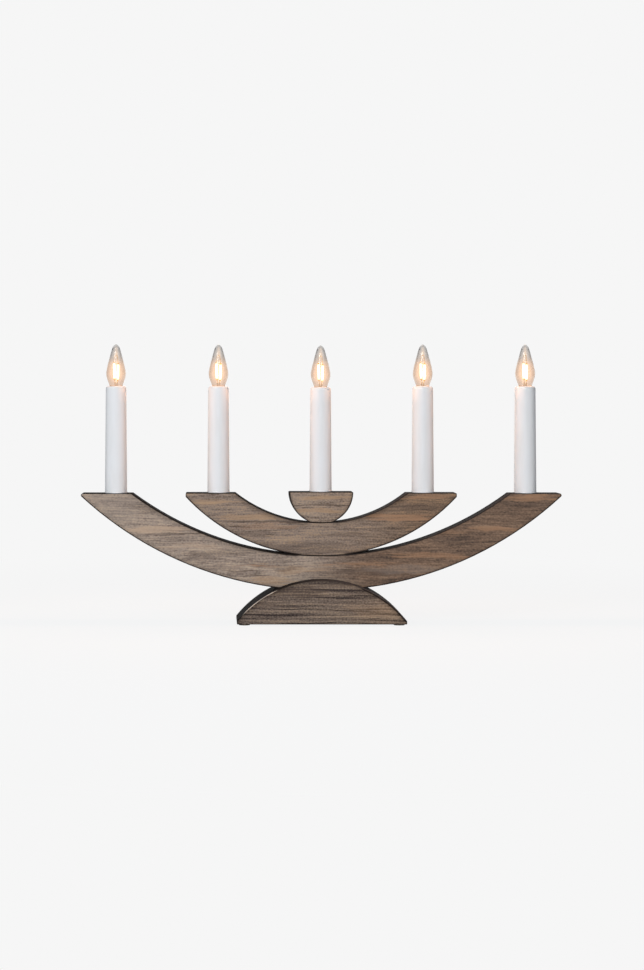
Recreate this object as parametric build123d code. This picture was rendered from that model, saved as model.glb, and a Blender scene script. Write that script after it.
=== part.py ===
from build123d import *
import math
import os

# Electric candle arch with five lamps, in millimetres.
# +X right, +Y to the rear, +Z up, origin on the table under the middle of the base.

# Boards
board_thickness = 22.0
arris = 0.6                     # broken edge along every board
seat_gap = 0.05                 # between two boards that are glued on each other
overrun = 5.0                   # how far a cutting tool runs past the wood

# Large crescent, the outer pair of arms
large_half_span = 226.1         # to the sharp corner of a tip
large_under_low = 30.85         # lowest point of its lower edge
large_depth = 32.5              # in the middle
large_tip_round = 1.8
large_corner_round = 1.2
outer_seat_height = 121.2       # flat that the outer candles stand on
outer_seat_width = 50.7

# Small crescent, the inner pair of arms
small_half_span = 126.0
small_depth = 30.6              # in the middle
small_end_height = 3.65         # upright end of each tip
small_trim = 0.45               # sawn off its lower edge where it sits on the large crescent
small_tip_round = 1.2
inner_seat_height = 121.6
inner_seat_width = 46.4

# Cup in the middle, a half disc
cup_radius = 29.8
cup_trim = 1.2                  # sawn off where it sits on the small crescent
cup_corner_round = 0.9

# Base, a segment of a disc with a saddle slot for the large crescent
base_depth = 50.0
base_top_height = 41.8
base_half_width = 78.5
base_end_height = 3.0
base_corner_round = 0.8
slot_clearance = 0.1

# Foot pads
pad_thickness = 1.0
pad_radius = 5.0
pad_inset = 2.0                 # from the ends of the base to the pad's rim
pad_front_inset = 1.0           # from the front of the base to the pad's rim

# Candles
outer_candle_inset = 35.0       # from the end of the large crescent to the candle's axis
inner_candle_inset = 30.6       # from the end of the small crescent to the candle's axis
sleeve_length = 99.6
sleeve_length_shares = (1.002, 0.996, 0.978, 0.996, 1.0)
sleeve_foot_radius = 10.4
sleeve_top_radius = 9.6
sleeve_wall = 1.3
sleeve_shoulder_round = 2.3
sleeve_lip_thickness = 1.6
sleeve_mouth_radius = 7.2
sleeve_bead_radius = 10.65
sleeve_bead_height = 1.5

# Spigot that holds each sleeve on the wood
spigot_plug_radius = 5.0
spigot_plug_depth = 8.0
spigot_floor = 2.5
spigot_height = 12.0
spigot_ring_wall = 1.3
spigot_bore_radius = 3.0
spigot_fit = 0.15               # radial, inside the sleeve
plug_fit = 0.05                 # radial, in the wood

# Lamp holder, hung under the sleeve's lip
holder_length = 31.0
holder_collar_length = 7.0
holder_body_radius = 7.3
holder_ring_length = 3.0
holder_fit = 0.12               # radial, inside the sleeve
holder_mouth_radius = 6.7
holder_mouth_depth = 4.8
holder_web_depth = 15.8         # from the holder's top down to the web
holder_web = 3.0
holder_skirt_radius = 5.9

# Screw shell of the holder, its bore at the root of the thread
shell_wall = 0.35
shell_flange_radius = 6.2
shell_length = 10.5
part_fit = 0.05                 # radial, between fixed pieces in the holder
thread_fit = 0.08               # radial, between the lamp's cap and the shell

# Contact leaf under the lamp
leaf_width = 3.0
leaf_thickness = 0.4
leaf_foot_length = 2.4
leaf_pad_length = 3.4
leaf_tail_length = 0.8
contact_gap = 0.12

# Lamp, its heights counted from the sleeve's mouth
bulb_height = 38.9
bulb_radius = 9.25
glass_wall = 0.7
glass_tip_thickness = 5.2
glass_neck_radius = 5.3
glass_neck_top = 2.4            # below the mouth
glass_neck_low = 4.4            # below the mouth
glass_radius_shares = (0.655, 1.0, 0.9, 0.66, 0.44, 0.29)
glass_height_shares = (0.0, 0.31, 0.46, 0.68, 0.87, 0.965)
cap_collar_radius = 5.75
cap_collar_top = 2.6            # below the mouth
cap_collar_height = 2.6
cap_wall = 0.35
cap_thread_radius = 4.75        # at the crest of the thread
cap_thread_length = 9.0
end_insulator_radius = 3.9
end_insulator_low_radius = 2.4
end_insulator_height = 1.2
end_button_radius = 1.7
end_button_height = 0.8
stem_neck_radius = 1.5
stem_flare_top = 1.5            # below the mouth
stem_top = 3.5                  # above the mouth
filament_radius = 0.75
filament_low = 6.5
filament_length = 14.5
filament_spread = 1.9           # of each filament's foot from the axis
filament_lean = 3.0             # degrees outward
support_radius = 0.25

# Lead in its routed groove in the rear faces
lead_radius = 1.0
lead_offset = 1.5               # of each of two leads from the middle of the groove
lead_bend = 3.0
lead_elbow = 8.0
lead_gap = 0.15
groove_width = 6.8
groove_depth = 4.4
elbow_depth = 12.0              # from a seat down to the corner where its leads turn into the groove
lead_hole_radius = 3.3
elbow_hole_radius = 4.6         # of the hole from the rear, where the leads turn
elbow_hole_past = 0.7           # how far that hole runs past the upright one
inlet_radius = 3.5
inlet_height = 16.0

# Wood screws and dowels
screw_radius = 2.0
screw_head_radius = 4.0
screw_head_height = 2.6
screw_tip_length = 5.0
screw_recess_width = 1.0
screw_recess_length = 4.6
screw_recess_depth = 1.8
screw_fit = 0.05
base_screw_offset = 22.0
base_screw_length = 45.0
base_screw_sink = 2.0
crescent_screw_offset = 9.0
crescent_screw_length = 40.0
crescent_screw_sink = 8.0
dowel_radius = 2.5
dowel_length = 22.0
dowel_offset = 7.0
dowel_chamfer = 0.5
dowel_fit = 0.05


def arc_radius(half_chord, rise):
    """The radius of an arc from half its chord and its rise."""
    return (half_chord * half_chord + rise * rise) / (2 * rise)


def groove_radius(centre, seat, offset):
    """The radius of the groove whose leads turn up to a seat at a distance from the middle."""
    drop = centre - seat + elbow_depth
    return math.sqrt(offset * offset + drop * drop - lead_elbow * lead_elbow)


# Worked out from the sizes above
half_board = board_thickness / 2
base_low = pad_thickness
large_upper_low = large_under_low + large_depth
large_under_radius = arc_radius(large_half_span, outer_seat_height - large_under_low)
large_upper_radius = arc_radius(large_half_span - outer_seat_width, outer_seat_height - large_upper_low)
large_under_centre = large_under_low + large_under_radius
small_under_low = large_upper_low - small_trim
small_upper_low = large_upper_low + small_depth
small_under_radius = arc_radius(small_half_span, inner_seat_height - small_end_height - small_under_low)
small_upper_radius = arc_radius(small_half_span - inner_seat_width, inner_seat_height - small_upper_low)
small_under_centre = small_under_low + small_under_radius
cup_seat_height = small_upper_low + cup_radius - cup_trim
outer_candle_offset = large_half_span - outer_candle_inset
inner_candle_offset = small_half_span - inner_candle_inset
large_groove_radius = groove_radius(large_under_centre, outer_seat_height, outer_candle_offset)
small_groove_radius = groove_radius(small_under_centre, inner_seat_height, inner_candle_offset)
lead_plane = half_board - groove_depth + lead_gap + lead_radius
candle_offsets = (-outer_candle_offset, -inner_candle_offset, 0, inner_candle_offset, outer_candle_offset)
seat_heights = (
    outer_seat_height,
    inner_seat_height,
    cup_seat_height,
    inner_seat_height,
    outer_seat_height,
)
mouth_heights = tuple(seat + sleeve_length * share for seat, share in zip(seat_heights, sleeve_length_shares))
holder_top = -sleeve_lip_thickness
web_top = holder_top - holder_web_depth
cap_collar_low = -cap_collar_top - cap_collar_height
cap_low = cap_collar_low - cap_thread_length
end_low = cap_low - end_insulator_height - end_button_height
lead_top = web_top - holder_web / 2
elbow_hole_front = -lead_hole_radius - elbow_hole_past

parts = {}


def front_view(sketch):
    """A flat outline drawn in X and Z, stood up in the front plane."""
    return Plane.XZ * sketch


def disc(radius, low):
    """A disc whose lowest point is at the height low."""
    return Pos(0, low + radius) * Circle(radius)


def below(height, half_width):
    """Everything under a height, as wide as asked."""
    reach = 2 * half_width
    top_edge = (Align.CENTER, Align.MAX)
    return Pos(0, height) * Rectangle(reach, reach, align=top_edge)


def sawn(outline, thickness):
    """A board cut to an outline, with its long edges broken."""
    board = extrude(front_view(outline), amount=thickness / 2, both=True)
    faces = board.faces().sort_by(Axis.Y)
    edges = faces[0].outer_wire().edges() + faces[-1].outer_wire().edges()
    return chamfer(edges, arris)


def corners(outline, count, radius):
    """Round the count corners that lie farthest from the middle."""
    found = sorted(outline.vertices(), key=lambda corner: -abs(corner.X))[:count]
    return fillet(found, radius)


def bored(radius, x, y, low, high):
    """A vertical hole's tool."""
    middle = (low + high) / 2
    return Pos(x, y, middle) * Cylinder(radius, high - low)


def rear_hole(radius, x, height, front, rear):
    """The tool of a hole that runs from front to rear."""
    middle = (front + rear) / 2
    return Pos(x, middle, height) * Rot(90, 0, 0) * Cylinder(radius, rear - front)


def routed(outline):
    """The tool of a groove in the rear face of a board."""
    floor = Plane.XZ.offset(groove_depth - half_board)
    return extrude(floor * outline, amount=-(groove_depth + overrun))


def ring_groove(radius, centre, reach):
    """The outline of a groove that follows a crescent's lower edge."""
    ring = Circle(radius + groove_width / 2) - Circle(radius - groove_width / 2)
    window = Rectangle(2 * reach, 2 * radius, align=(Align.CENTER, Align.MAX))
    return Pos(0, centre) * (ring & window)


def link_groove(low, high):
    """The outline of the upright groove that joins the crescents' grooves."""
    return Pos(0, (low + high) / 2) * Rectangle(groove_width, high - low)


def elbow_height(radius, centre, offset):
    """The height at which a lead leaves its upright hole for the groove."""
    reach = math.hypot(radius, lead_elbow)
    return centre - math.sqrt(reach * reach - offset * offset)


def turned(points):
    """A solid of revolution about Z from an outline of radius and height."""
    outline = make_face(front_view(Polyline(*points, close=True)))
    return revolve(outline, Axis.Z)


def candle_socket(x, seat, radius, centre):
    """The tools for one candle: the plug's hole, the lead's hole and the way to the rear."""
    turn = elbow_height(radius, centre, abs(x))
    plug = bored(spigot_plug_radius + plug_fit, x, 0, seat - spigot_plug_depth - plug_fit, seat + overrun)
    way = bored(lead_hole_radius, x, 0, turn, seat)
    rear = rear_hole(elbow_hole_radius, x, turn, elbow_hole_front, half_board + overrun)
    return [plug, way, rear]


def screw_way(x, head_low, length, start):
    """The tools for a screw driven upward from a board's lower side."""
    shank = bored(screw_radius + screw_fit, x, 0, head_low, head_low + length)
    head = bored(screw_head_radius + screw_fit, x, 0, start - overrun, head_low + screw_head_height)
    return [shank, head]


def dowel_way(x, low, high):
    """The tool for a dowel."""
    return bored(dowel_radius + dowel_fit, x, 0, low - dowel_fit, high + dowel_fit)


def saddle_height(radius, low, x):
    """The height of a concave edge at x."""
    return low + radius - math.sqrt(radius * radius - x * x)


base_screw_low = base_low + base_screw_sink
crescent_screw_start = saddle_height(large_under_radius, large_under_low, crescent_screw_offset)
crescent_screw_low = crescent_screw_start + crescent_screw_sink
dowel_low = small_upper_low - dowel_length / 2
dowel_high = small_upper_low + dowel_length / 2


def make_base():
    """The base: a disc segment with a saddle slot, screw holes and the inlet for the cord."""
    radius = arc_radius(base_half_width, base_top_height - base_low - base_end_height)
    outline = Pos(0, base_top_height - radius) * Circle(radius)
    frame = Pos(0, base_low) * Rectangle(
        2 * base_half_width, base_top_height, align=(Align.CENTER, Align.MIN)
    )
    outline = corners(outline & frame, 4, base_corner_round)
    base = sawn(outline, base_depth)
    slot = Pos(0, 0, large_under_centre) * Rot(90, 0, 0) * Cylinder(
        large_under_radius + seat_gap, board_thickness + 2 * slot_clearance
    )
    base -= slot
    for side in (-1, 1):
        for tool in screw_way(side * base_screw_offset, base_screw_low, base_screw_length, base_low):
            base -= tool
    base -= bored(lead_hole_radius, 0, lead_plane, inlet_height, large_under_low + overrun)
    base -= rear_hole(inlet_radius, 0, inlet_height, lead_plane - inlet_radius, base_depth / 2 + overrun)
    return base


def make_large_crescent():
    """The outer pair of arms, with sockets for two candles and the lead's groove behind."""
    outline = disc(large_under_radius, large_under_low) & below(outer_seat_height, large_under_radius)
    outline -= disc(large_upper_radius, large_upper_low)
    outline = corners(outline, 2, large_tip_round)
    inner = sorted(outline.vertices(), key=lambda corner: abs(corner.X))[:2]
    outline = fillet(inner, large_corner_round)
    board = sawn(outline, board_thickness)
    for side in (-1, 1):
        x = side * outer_candle_offset
        for tool in candle_socket(x, outer_seat_height, large_groove_radius, large_under_centre):
            board -= tool
        for tool in screw_way(
            side * crescent_screw_offset, crescent_screw_low, crescent_screw_length, crescent_screw_start
        ):
            board -= tool
        base_screw_top = base_screw_low + base_screw_length
        board -= bored(
            screw_radius + screw_fit, side * base_screw_offset, 0, large_under_low - overrun, base_screw_top
        )
    board -= routed(ring_groove(large_groove_radius, large_under_centre, outer_candle_offset))
    board -= routed(link_groove(large_under_low - overrun, large_upper_low + overrun))
    return board


def make_small_crescent():
    """The inner pair of arms, trimmed to sit on the large crescent."""
    outline = disc(small_under_radius, small_under_low) & below(inner_seat_height, small_half_span)
    outline -= disc(small_upper_radius, small_upper_low)
    outline &= disc(large_upper_radius - seat_gap, large_upper_low + seat_gap)
    tips = sorted(outline.vertices(), key=lambda corner: -abs(corner.X))[:4]
    outline = fillet(tips, small_tip_round)
    board = sawn(outline, board_thickness)
    for side in (-1, 1):
        x = side * inner_candle_offset
        for tool in candle_socket(x, inner_seat_height, small_groove_radius, small_under_centre):
            board -= tool
        screw_top = crescent_screw_low + crescent_screw_length
        board -= bored(
            screw_radius + screw_fit, side * crescent_screw_offset, 0, small_under_low - overrun, screw_top
        )
        board -= dowel_way(side * dowel_offset, dowel_low, dowel_high)
    turn = elbow_height(small_groove_radius, small_under_centre, 0)
    board -= bored(lead_hole_radius, 0, 0, turn, small_upper_low + overrun)
    board -= rear_hole(elbow_hole_radius, 0, turn, elbow_hole_front, half_board + overrun)
    board -= routed(ring_groove(small_groove_radius, small_under_centre, inner_candle_offset))
    board -= routed(link_groove(small_under_low - overrun, turn))
    return board


def make_cup():
    """The half disc in the middle, trimmed to sit on the small crescent."""
    outline = Pos(0, cup_seat_height) * Circle(cup_radius) & below(cup_seat_height, cup_radius)
    outline &= disc(small_upper_radius - seat_gap, small_upper_low + seat_gap)
    outline = corners(outline, 2, cup_corner_round)
    board = sawn(outline, board_thickness)
    plug_low = cup_seat_height - spigot_plug_depth - plug_fit
    board -= bored(spigot_plug_radius + plug_fit, 0, 0, plug_low, cup_seat_height + overrun)
    board -= bored(lead_hole_radius, 0, 0, small_upper_low - overrun, cup_seat_height)
    for side in (-1, 1):
        board -= dowel_way(side * dowel_offset, dowel_low, dowel_high)
    return board


def make_pads():
    """Four thin round pads under the corners of the base."""
    x = base_half_width - pad_inset - pad_radius
    y = base_depth / 2 - pad_front_inset - pad_radius
    pad = Pos(0, 0, pad_thickness / 2) * Cylinder(pad_radius, pad_thickness)
    return [Pos(i * x, j * y, 0) * pad for i in (-1, 1) for j in (-1, 1)]


def make_screw(x, low, length):
    """A countersunk wood screw that points upward, with a crossed recess in its head."""
    shank_top = length - screw_tip_length
    body = turned([
        (0, 0),
        (screw_head_radius, 0),
        (screw_radius, screw_head_height),
        (screw_radius, shank_top),
        (0, length),
    ])
    recess = Box(screw_recess_length, screw_recess_width, 2 * screw_recess_depth)
    body -= recess + Rot(0, 0, 90) * recess
    return Pos(x, 0, low) * body


def make_dowel(x):
    """A wooden dowel between the small crescent and the cup."""
    dowel = Cylinder(dowel_radius, dowel_high - dowel_low)
    dowel = chamfer(dowel.edges().filter_by(GeomType.CIRCLE), dowel_chamfer)
    return Pos(x, 0, (dowel_low + dowel_high) / 2) * dowel


def make_sleeve(length):
    """A plastic candle sleeve, slightly tapered, with a rounded lip and a bead at its foot."""
    wall = Polyline(
        (sleeve_foot_radius, sleeve_bead_height),
        (sleeve_top_radius, length),
        (sleeve_mouth_radius, length),
        (sleeve_mouth_radius, length - sleeve_lip_thickness),
        (sleeve_top_radius - sleeve_wall, length - sleeve_lip_thickness),
        (sleeve_foot_radius - sleeve_wall, 0),
        (sleeve_foot_radius, 0),
    )
    bead = ThreePointArc(
        (sleeve_foot_radius, 0),
        (sleeve_bead_radius, sleeve_bead_height / 2),
        (sleeve_foot_radius, sleeve_bead_height),
    )
    outline = make_face(wall + bead)
    shoulder = outline.vertices().sort_by(Axis.Y)[-2:].sort_by(Axis.X)[-1]
    outline = fillet(shoulder, sleeve_shoulder_round)
    return revolve(front_view(outline), Axis.Z)


def sleeve_bore(length, depth):
    """The radius inside a sleeve, at a depth under its mouth."""
    slope = (sleeve_foot_radius - sleeve_top_radius) / length
    return sleeve_top_radius - sleeve_wall + slope * depth


def make_spigot():
    """The plug that stands in the wood and carries the sleeve."""
    ring = sleeve_foot_radius - sleeve_wall - spigot_fit
    taper = (sleeve_foot_radius - sleeve_top_radius) * spigot_height / sleeve_length
    return turned([
        (spigot_bore_radius, -spigot_plug_depth),
        (spigot_plug_radius, -spigot_plug_depth),
        (spigot_plug_radius, 0),
        (ring, 0),
        (ring - taper, spigot_height),
        (ring - taper - spigot_ring_wall, spigot_height),
        (ring - taper - spigot_ring_wall, spigot_floor),
        (spigot_bore_radius, spigot_floor),
    ])


def make_holder(length):
    """The moulded holder inside the top of a sleeve, with two holes for the leads in its web."""
    collar = sleeve_bore(length, sleeve_lip_thickness) - holder_fit
    ring = sleeve_bore(length, sleeve_lip_thickness + holder_length - holder_ring_length) - holder_fit
    shell_radius = cap_thread_radius + thread_fit + shell_wall + part_fit
    low = holder_top - holder_length
    web_low = web_top - holder_web
    body = turned([
        (0, web_top),
        (shell_radius, web_top),
        (shell_radius, holder_top - holder_mouth_depth),
        (holder_mouth_radius, holder_top - holder_mouth_depth),
        (holder_mouth_radius, holder_top - part_fit),
        (collar, holder_top - part_fit),
        (collar, holder_top - holder_collar_length),
        (holder_body_radius, holder_top - holder_collar_length - part_fit),
        (holder_body_radius, low + holder_ring_length),
        (ring, low + holder_ring_length),
        (ring, low),
        (holder_skirt_radius, low),
        (holder_skirt_radius, web_low),
        (0, web_low),
    ])
    for side in (-1, 1):
        hole = bored(lead_radius + lead_gap, side * lead_offset, 0, web_low - overrun, web_top + overrun)
        body -= hole & Pos(0, 0, web_low) * Cylinder(holder_skirt_radius, 2 * holder_web)
    return body


def make_shell():
    """The screw shell with the flange that it rests on."""
    bore = cap_thread_radius + thread_fit
    top = holder_top - holder_mouth_depth + shell_wall + part_fit
    return turned([
        (bore, top),
        (shell_flange_radius, top),
        (shell_flange_radius, top - shell_wall),
        (bore + shell_wall, top - shell_wall),
        (bore + shell_wall, top - shell_length),
        (bore, top - shell_length),
    ])


def make_leaf():
    """The springy strip that touches the lamp's end, bent up from its foot."""
    low = web_top + part_fit
    high = end_low - contact_gap - leaf_thickness
    start = -leaf_foot_length - leaf_pad_length / 2
    rise = leaf_tail_length
    line = Polyline(
        (start, low),
        (start + leaf_foot_length - rise, low),
        (-leaf_pad_length / 2 + rise, high),
        (leaf_pad_length / 2, high),
        (leaf_pad_length / 2 + leaf_tail_length, (low + high) / 2),
    )
    strip = offset(line, leaf_thickness, side=Side.LEFT)
    return extrude(front_view(make_face(strip.edges())), amount=leaf_width / 2, both=True)


def glass_body(wall, top, count):
    """The solid inside the glass's outline, drawn in by a wall, with a rounded top."""
    neck = glass_neck_radius - wall
    rest = [
        ((bulb_radius - wall) * r, bulb_height * z)
        for r, z in zip(glass_radius_shares[:count], glass_height_shares[:count])
    ]
    swell = Spline(
        [(neck, -glass_neck_top)] + rest + [(0, top)],
        tangents=[(0, 1), (-1, 0)],
    )
    axis = Polyline((0, top), (0, -glass_neck_low), (neck, -glass_neck_low), (neck, -glass_neck_top))
    return revolve(front_view(make_face(swell + axis)), Axis.Z)


def make_glass():
    """The hollow flame-shaped glass, thick at its blunt tip and open at its neck."""
    outside = glass_body(0, bulb_height, len(glass_radius_shares))
    inside = glass_body(glass_wall, bulb_height - glass_tip_thickness, len(glass_radius_shares) - 2)
    return outside - inside


def make_cap():
    """The lamp's metal cap: a thread body and a flared collar round the glass."""
    return turned([
        (cap_thread_radius - cap_wall, cap_low),
        (cap_thread_radius, cap_low),
        (cap_thread_radius, cap_collar_low - cap_wall),
        (cap_collar_radius, cap_collar_low + cap_wall),
        (cap_collar_radius, -cap_collar_top),
        (cap_collar_radius - cap_wall, -cap_collar_top),
        (cap_collar_radius - cap_wall, cap_collar_low + 2 * cap_wall),
        (cap_thread_radius - cap_wall, cap_collar_low),
    ])


def make_end():
    """The lamp's end: the black insulator and the contact button."""
    insulator_low = cap_low - end_insulator_height
    return turned([
        (0, cap_low),
        (end_insulator_radius, cap_low),
        (end_insulator_low_radius, insulator_low),
        (end_button_radius, insulator_low),
        (end_button_radius, end_low),
        (0, end_low),
    ])


def make_stem():
    """The glass stem that stands on the foot of the lamp."""
    foot = -glass_neck_low
    return turned([
        (0, foot),
        (glass_neck_radius - glass_wall - part_fit, foot),
        (stem_neck_radius, -stem_flare_top),
        (stem_neck_radius, stem_top),
        (0, stem_top),
    ])


def make_filaments():
    """Two filament sticks with their support wires, each pair one solid."""
    made = []
    for side in (-1, 1):
        lean = Rot(0, side * filament_lean, 0)
        stick = lean * (Pos(0, 0, filament_length / 2) * Cylinder(filament_radius, filament_length))
        stick = Pos(side * filament_spread, 0, filament_low) * stick
        start = Vector(side * stem_neck_radius / 2, 0, stem_top)
        end = Vector(side * filament_spread, 0, filament_low + filament_radius / 2)
        wire = Cylinder(support_radius, (end - start).length, align=(Align.CENTER, Align.CENTER, Align.MIN))
        made.append(stick + Plane(start, z_dir=end - start) * wire)
    return made


def ring_point(radius, centre, angle):
    """A point of a lead's round run, at an angle from straight down."""
    return Vector(radius * math.sin(angle), lead_plane, centre - radius * math.cos(angle))


def corner_angle(radius, offset):
    """The angle of the corner where a lead leaves its round run at a given X."""
    return math.asin(offset / math.hypot(radius, lead_elbow))


def corner_point(radius, centre, offset):
    """The corner where a lead leaves its round run at a given X."""
    reach = math.hypot(radius, lead_elbow)
    return ring_point(reach, centre, corner_angle(radius, offset))


def round_run(radius, centre, outer, inner):
    """The ends and the middle of a lead's round run between two corners."""
    turn = math.atan(lead_elbow / radius)
    start = corner_angle(radius, outer) - turn
    stop = corner_angle(radius, inner) + turn
    return [ring_point(radius, centre, angle) for angle in (start, (start + stop) / 2, stop)]


def mirrored(points, side):
    """The same points on the other side of the arch."""
    return [Vector(side * point.X, point.Y, point.Z) for point in points]


def drop_points(x, corner, top):
    """A lead's way from its holder down the hole and to the rear, before its round run."""
    return [Vector(x, 0, top), Vector(x, 0, corner.Z), corner]


def swept_lead(runs, side):
    """A lead swept along its runs: three points are an arc, and the rest are bends between straights."""
    edges = []
    for kind, points in runs:
        points = mirrored(points, side)
        piece = ThreePointArc(*points) if kind == "arc" else FilletPolyline(*points, radius=lead_bend)
        edges += piece.edges()
    path = Wire(edges)
    section = Plane(path @ 0, z_dir=path % 0) * Circle(lead_radius)
    return sweep(section, path=path)


def make_supply_lead(side):
    """From above the inlet up into the large crescent's groove and out to the outer lamp."""
    radius = large_groove_radius + lead_offset
    centre = large_under_centre
    x = outer_candle_offset + lead_offset
    start, middle, stop = round_run(radius, centre, x, lead_offset)
    outer = corner_point(radius, centre, x)
    inner = corner_point(radius, centre, lead_offset)
    top = mouth_heights[0 if side < 0 else -1] + lead_top
    down = Vector(lead_offset, lead_plane, inlet_height + inlet_radius + lead_gap)
    return swept_lead([
        ("bends", drop_points(x, outer, top) + [start]),
        ("arc", [start, middle, stop]),
        ("bends", [stop, inner, down]),
    ], side)


def make_link_lead(side):
    """From the outer lamp back along both grooves to the inner lamp."""
    large_radius = large_groove_radius - lead_offset
    small_radius = small_groove_radius + lead_offset
    x = outer_candle_offset - lead_offset
    inner_x = inner_candle_offset + lead_offset
    start, middle, stop = round_run(large_radius, large_under_centre, x, lead_offset)
    inner_start, inner_middle, inner_stop = round_run(small_radius, small_under_centre, inner_x, lead_offset)
    outer = corner_point(large_radius, large_under_centre, x)
    low = corner_point(large_radius, large_under_centre, lead_offset)
    high = corner_point(small_radius, small_under_centre, lead_offset)
    inner = corner_point(small_radius, small_under_centre, inner_x)
    top = mouth_heights[0 if side < 0 else -1] + lead_top
    inner_top = mouth_heights[1 if side < 0 else -2] + lead_top
    return swept_lead([
        ("bends", drop_points(x, outer, top) + [start]),
        ("arc", [start, middle, stop]),
        ("bends", [stop, low, high, inner_stop]),
        ("arc", [inner_stop, inner_middle, inner_start]),
        ("bends", [inner_start] + drop_points(inner_x, inner, inner_top)[::-1]),
    ], side)


def make_cup_lead(side):
    """From the inner lamp along the small groove to the middle lamp."""
    radius = small_groove_radius - lead_offset
    centre = small_under_centre
    x = inner_candle_offset - lead_offset
    start, middle, stop = round_run(radius, centre, x, lead_offset)
    outer = corner_point(radius, centre, x)
    inner = corner_point(radius, centre, lead_offset)
    top = mouth_heights[1 if side < 0 else -2] + lead_top
    middle_top = mouth_heights[2] + lead_top
    return swept_lead([
        ("bends", drop_points(x, outer, top) + [start]),
        ("arc", [start, middle, stop]),
        ("bends", [stop] + drop_points(lead_offset, inner, middle_top)[::-1]),
    ], side)


parts["base_block"] = [make_base()]
parts["large_crescent"] = [make_large_crescent()]
parts["small_crescent"] = [make_small_crescent()]
parts["centre_cup"] = [make_cup()]
parts["foot_pads"] = make_pads()
parts["base_screws"] = [
    make_screw(side * base_screw_offset, base_screw_low, base_screw_length) for side in (-1, 1)
]
parts["crescent_screws"] = [
    make_screw(side * crescent_screw_offset, crescent_screw_low, crescent_screw_length) for side in (-1, 1)
]
parts["cup_dowels"] = [make_dowel(side * dowel_offset) for side in (-1, 1)]
parts["supply_leads"] = [make_supply_lead(side) for side in (-1, 1)]
parts["link_leads"] = [make_link_lead(side) for side in (-1, 1)]
parts["cup_leads"] = [make_cup_lead(side) for side in (-1, 1)]
parts["contact_leaves"] = []

for number, (x, seat, mouth, share) in enumerate(
    zip(candle_offsets, seat_heights, mouth_heights, sleeve_length_shares), start=1
):
    length = sleeve_length * share
    foot = Pos(x, 0, seat)
    head = Pos(x, 0, mouth)
    parts[f"candle_sleeve_{number}"] = [foot * make_sleeve(length)]
    parts[f"sleeve_spigot_{number}"] = [foot * make_spigot()]
    parts[f"lamp_holder_{number}"] = [head * make_holder(length)]
    parts[f"holder_shell_{number}"] = [head * make_shell()]
    parts[f"bulb_glass_{number}"] = [head * make_glass()]
    parts[f"bulb_cap_{number}"] = [head * make_cap()]
    parts[f"bulb_end_{number}"] = [head * make_end()]
    parts[f"bulb_stem_{number}"] = [head * make_stem()]
    parts[f"bulb_filaments_{number}"] = [head * solid for solid in make_filaments()]
    parts["contact_leaves"].append(head * make_leaf())

for name, solids in parts.items():
    flat = [solid for shape in solids for solid in shape.solids()]
    whole = flat[0] if len(flat) == 1 else Compound(children=flat)
    export_step(whole, f"parts/{name}.step")
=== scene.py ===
"""The looks of an electric candle arch: two nested crescents of stained pine with five lit lamps.

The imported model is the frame. Boards, sleeves, holders and leads keep their solids and get their finish here.
The lamps' glass, caps and filaments, the thread shells and the small fasteners are built here, where the
frame says that they are. Sizes are in millimetres unless a name says otherwise, and meshes are in metres.
"""

import logging
import math
from dataclasses import dataclass, field
from enum import Enum
from functools import cache
from typing import NamedTuple

import bmesh
import bpy
import numpy as np
from mathutils import Matrix, Vector


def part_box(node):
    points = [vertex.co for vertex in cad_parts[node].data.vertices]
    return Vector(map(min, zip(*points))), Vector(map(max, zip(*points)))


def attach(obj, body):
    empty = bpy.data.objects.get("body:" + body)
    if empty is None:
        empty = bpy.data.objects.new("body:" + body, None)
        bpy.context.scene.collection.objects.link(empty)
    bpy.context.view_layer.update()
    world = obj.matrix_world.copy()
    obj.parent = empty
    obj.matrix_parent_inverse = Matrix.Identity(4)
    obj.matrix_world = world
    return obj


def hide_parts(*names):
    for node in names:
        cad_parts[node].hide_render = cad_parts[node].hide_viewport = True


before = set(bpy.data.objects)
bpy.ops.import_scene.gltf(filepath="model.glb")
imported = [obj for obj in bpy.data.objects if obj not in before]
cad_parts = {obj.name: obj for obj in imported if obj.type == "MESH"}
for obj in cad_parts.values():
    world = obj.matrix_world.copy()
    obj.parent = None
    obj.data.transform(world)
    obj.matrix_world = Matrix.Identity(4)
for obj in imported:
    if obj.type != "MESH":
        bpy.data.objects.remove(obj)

MM = 0.001
ARCH = "arch"
Socket = bpy.types.NodeSocket
Mesh = bpy.types.Mesh
Size = tuple[float, float, float]
Arc = tuple[float, float]
Outline = list[tuple[float, float]]
log = logging.getLogger("candle_arch")


class Tone(Enum):
    """The stains in the boards' faces, by what they look like."""

    TAN = "#ab8f74"
    ORANGE = "#9f7d63"
    DARK = "#564a44"
    GREY = "#8e837b"
    PALE = "#b6a08c"
    # Pale tone of a rubbed chamfer, which also serves as a painted highlight.
    WORN_AND_LIT = "#cbbfb3"


class Side(Enum):
    """The two halves of the arch."""

    LEFT = -1
    RIGHT = 1


class Slot(Enum):
    """The names of the record's material slots."""

    GLASS = "clear_glass"
    CAP = "cap_metal"
    BRASS = "brass"
    STEEL = "zinc_steel"
    FILAMENT = "filament"


class Grain(NamedTuple):
    """A noise: the size of its grains along X, Y and Z, and how many finer layers it has."""

    size: Size
    detail: float = 2.0


class Shades(NamedTuple):
    """A wood's own colour, its dark grain and its light grain."""

    plain: str
    dark: str
    light: str


def colour(code: str) -> tuple[float, float, float, float]:
    """Turns a colour as it is seen into the linear values that a shader takes.

    Args:
        code: the colour as # and six hexadecimal digits.

    Returns:
        Red, green, blue and a full alpha.
    """
    parts = [int(code[i : i + 2], 16) / 255 for i in (1, 3, 5)]
    linear = [v / 12.92 if v <= 0.04045 else ((v + 0.055) / 1.055) ** 2.4 for v in parts]
    return (linear[0], linear[1], linear[2], 1.0)


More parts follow.
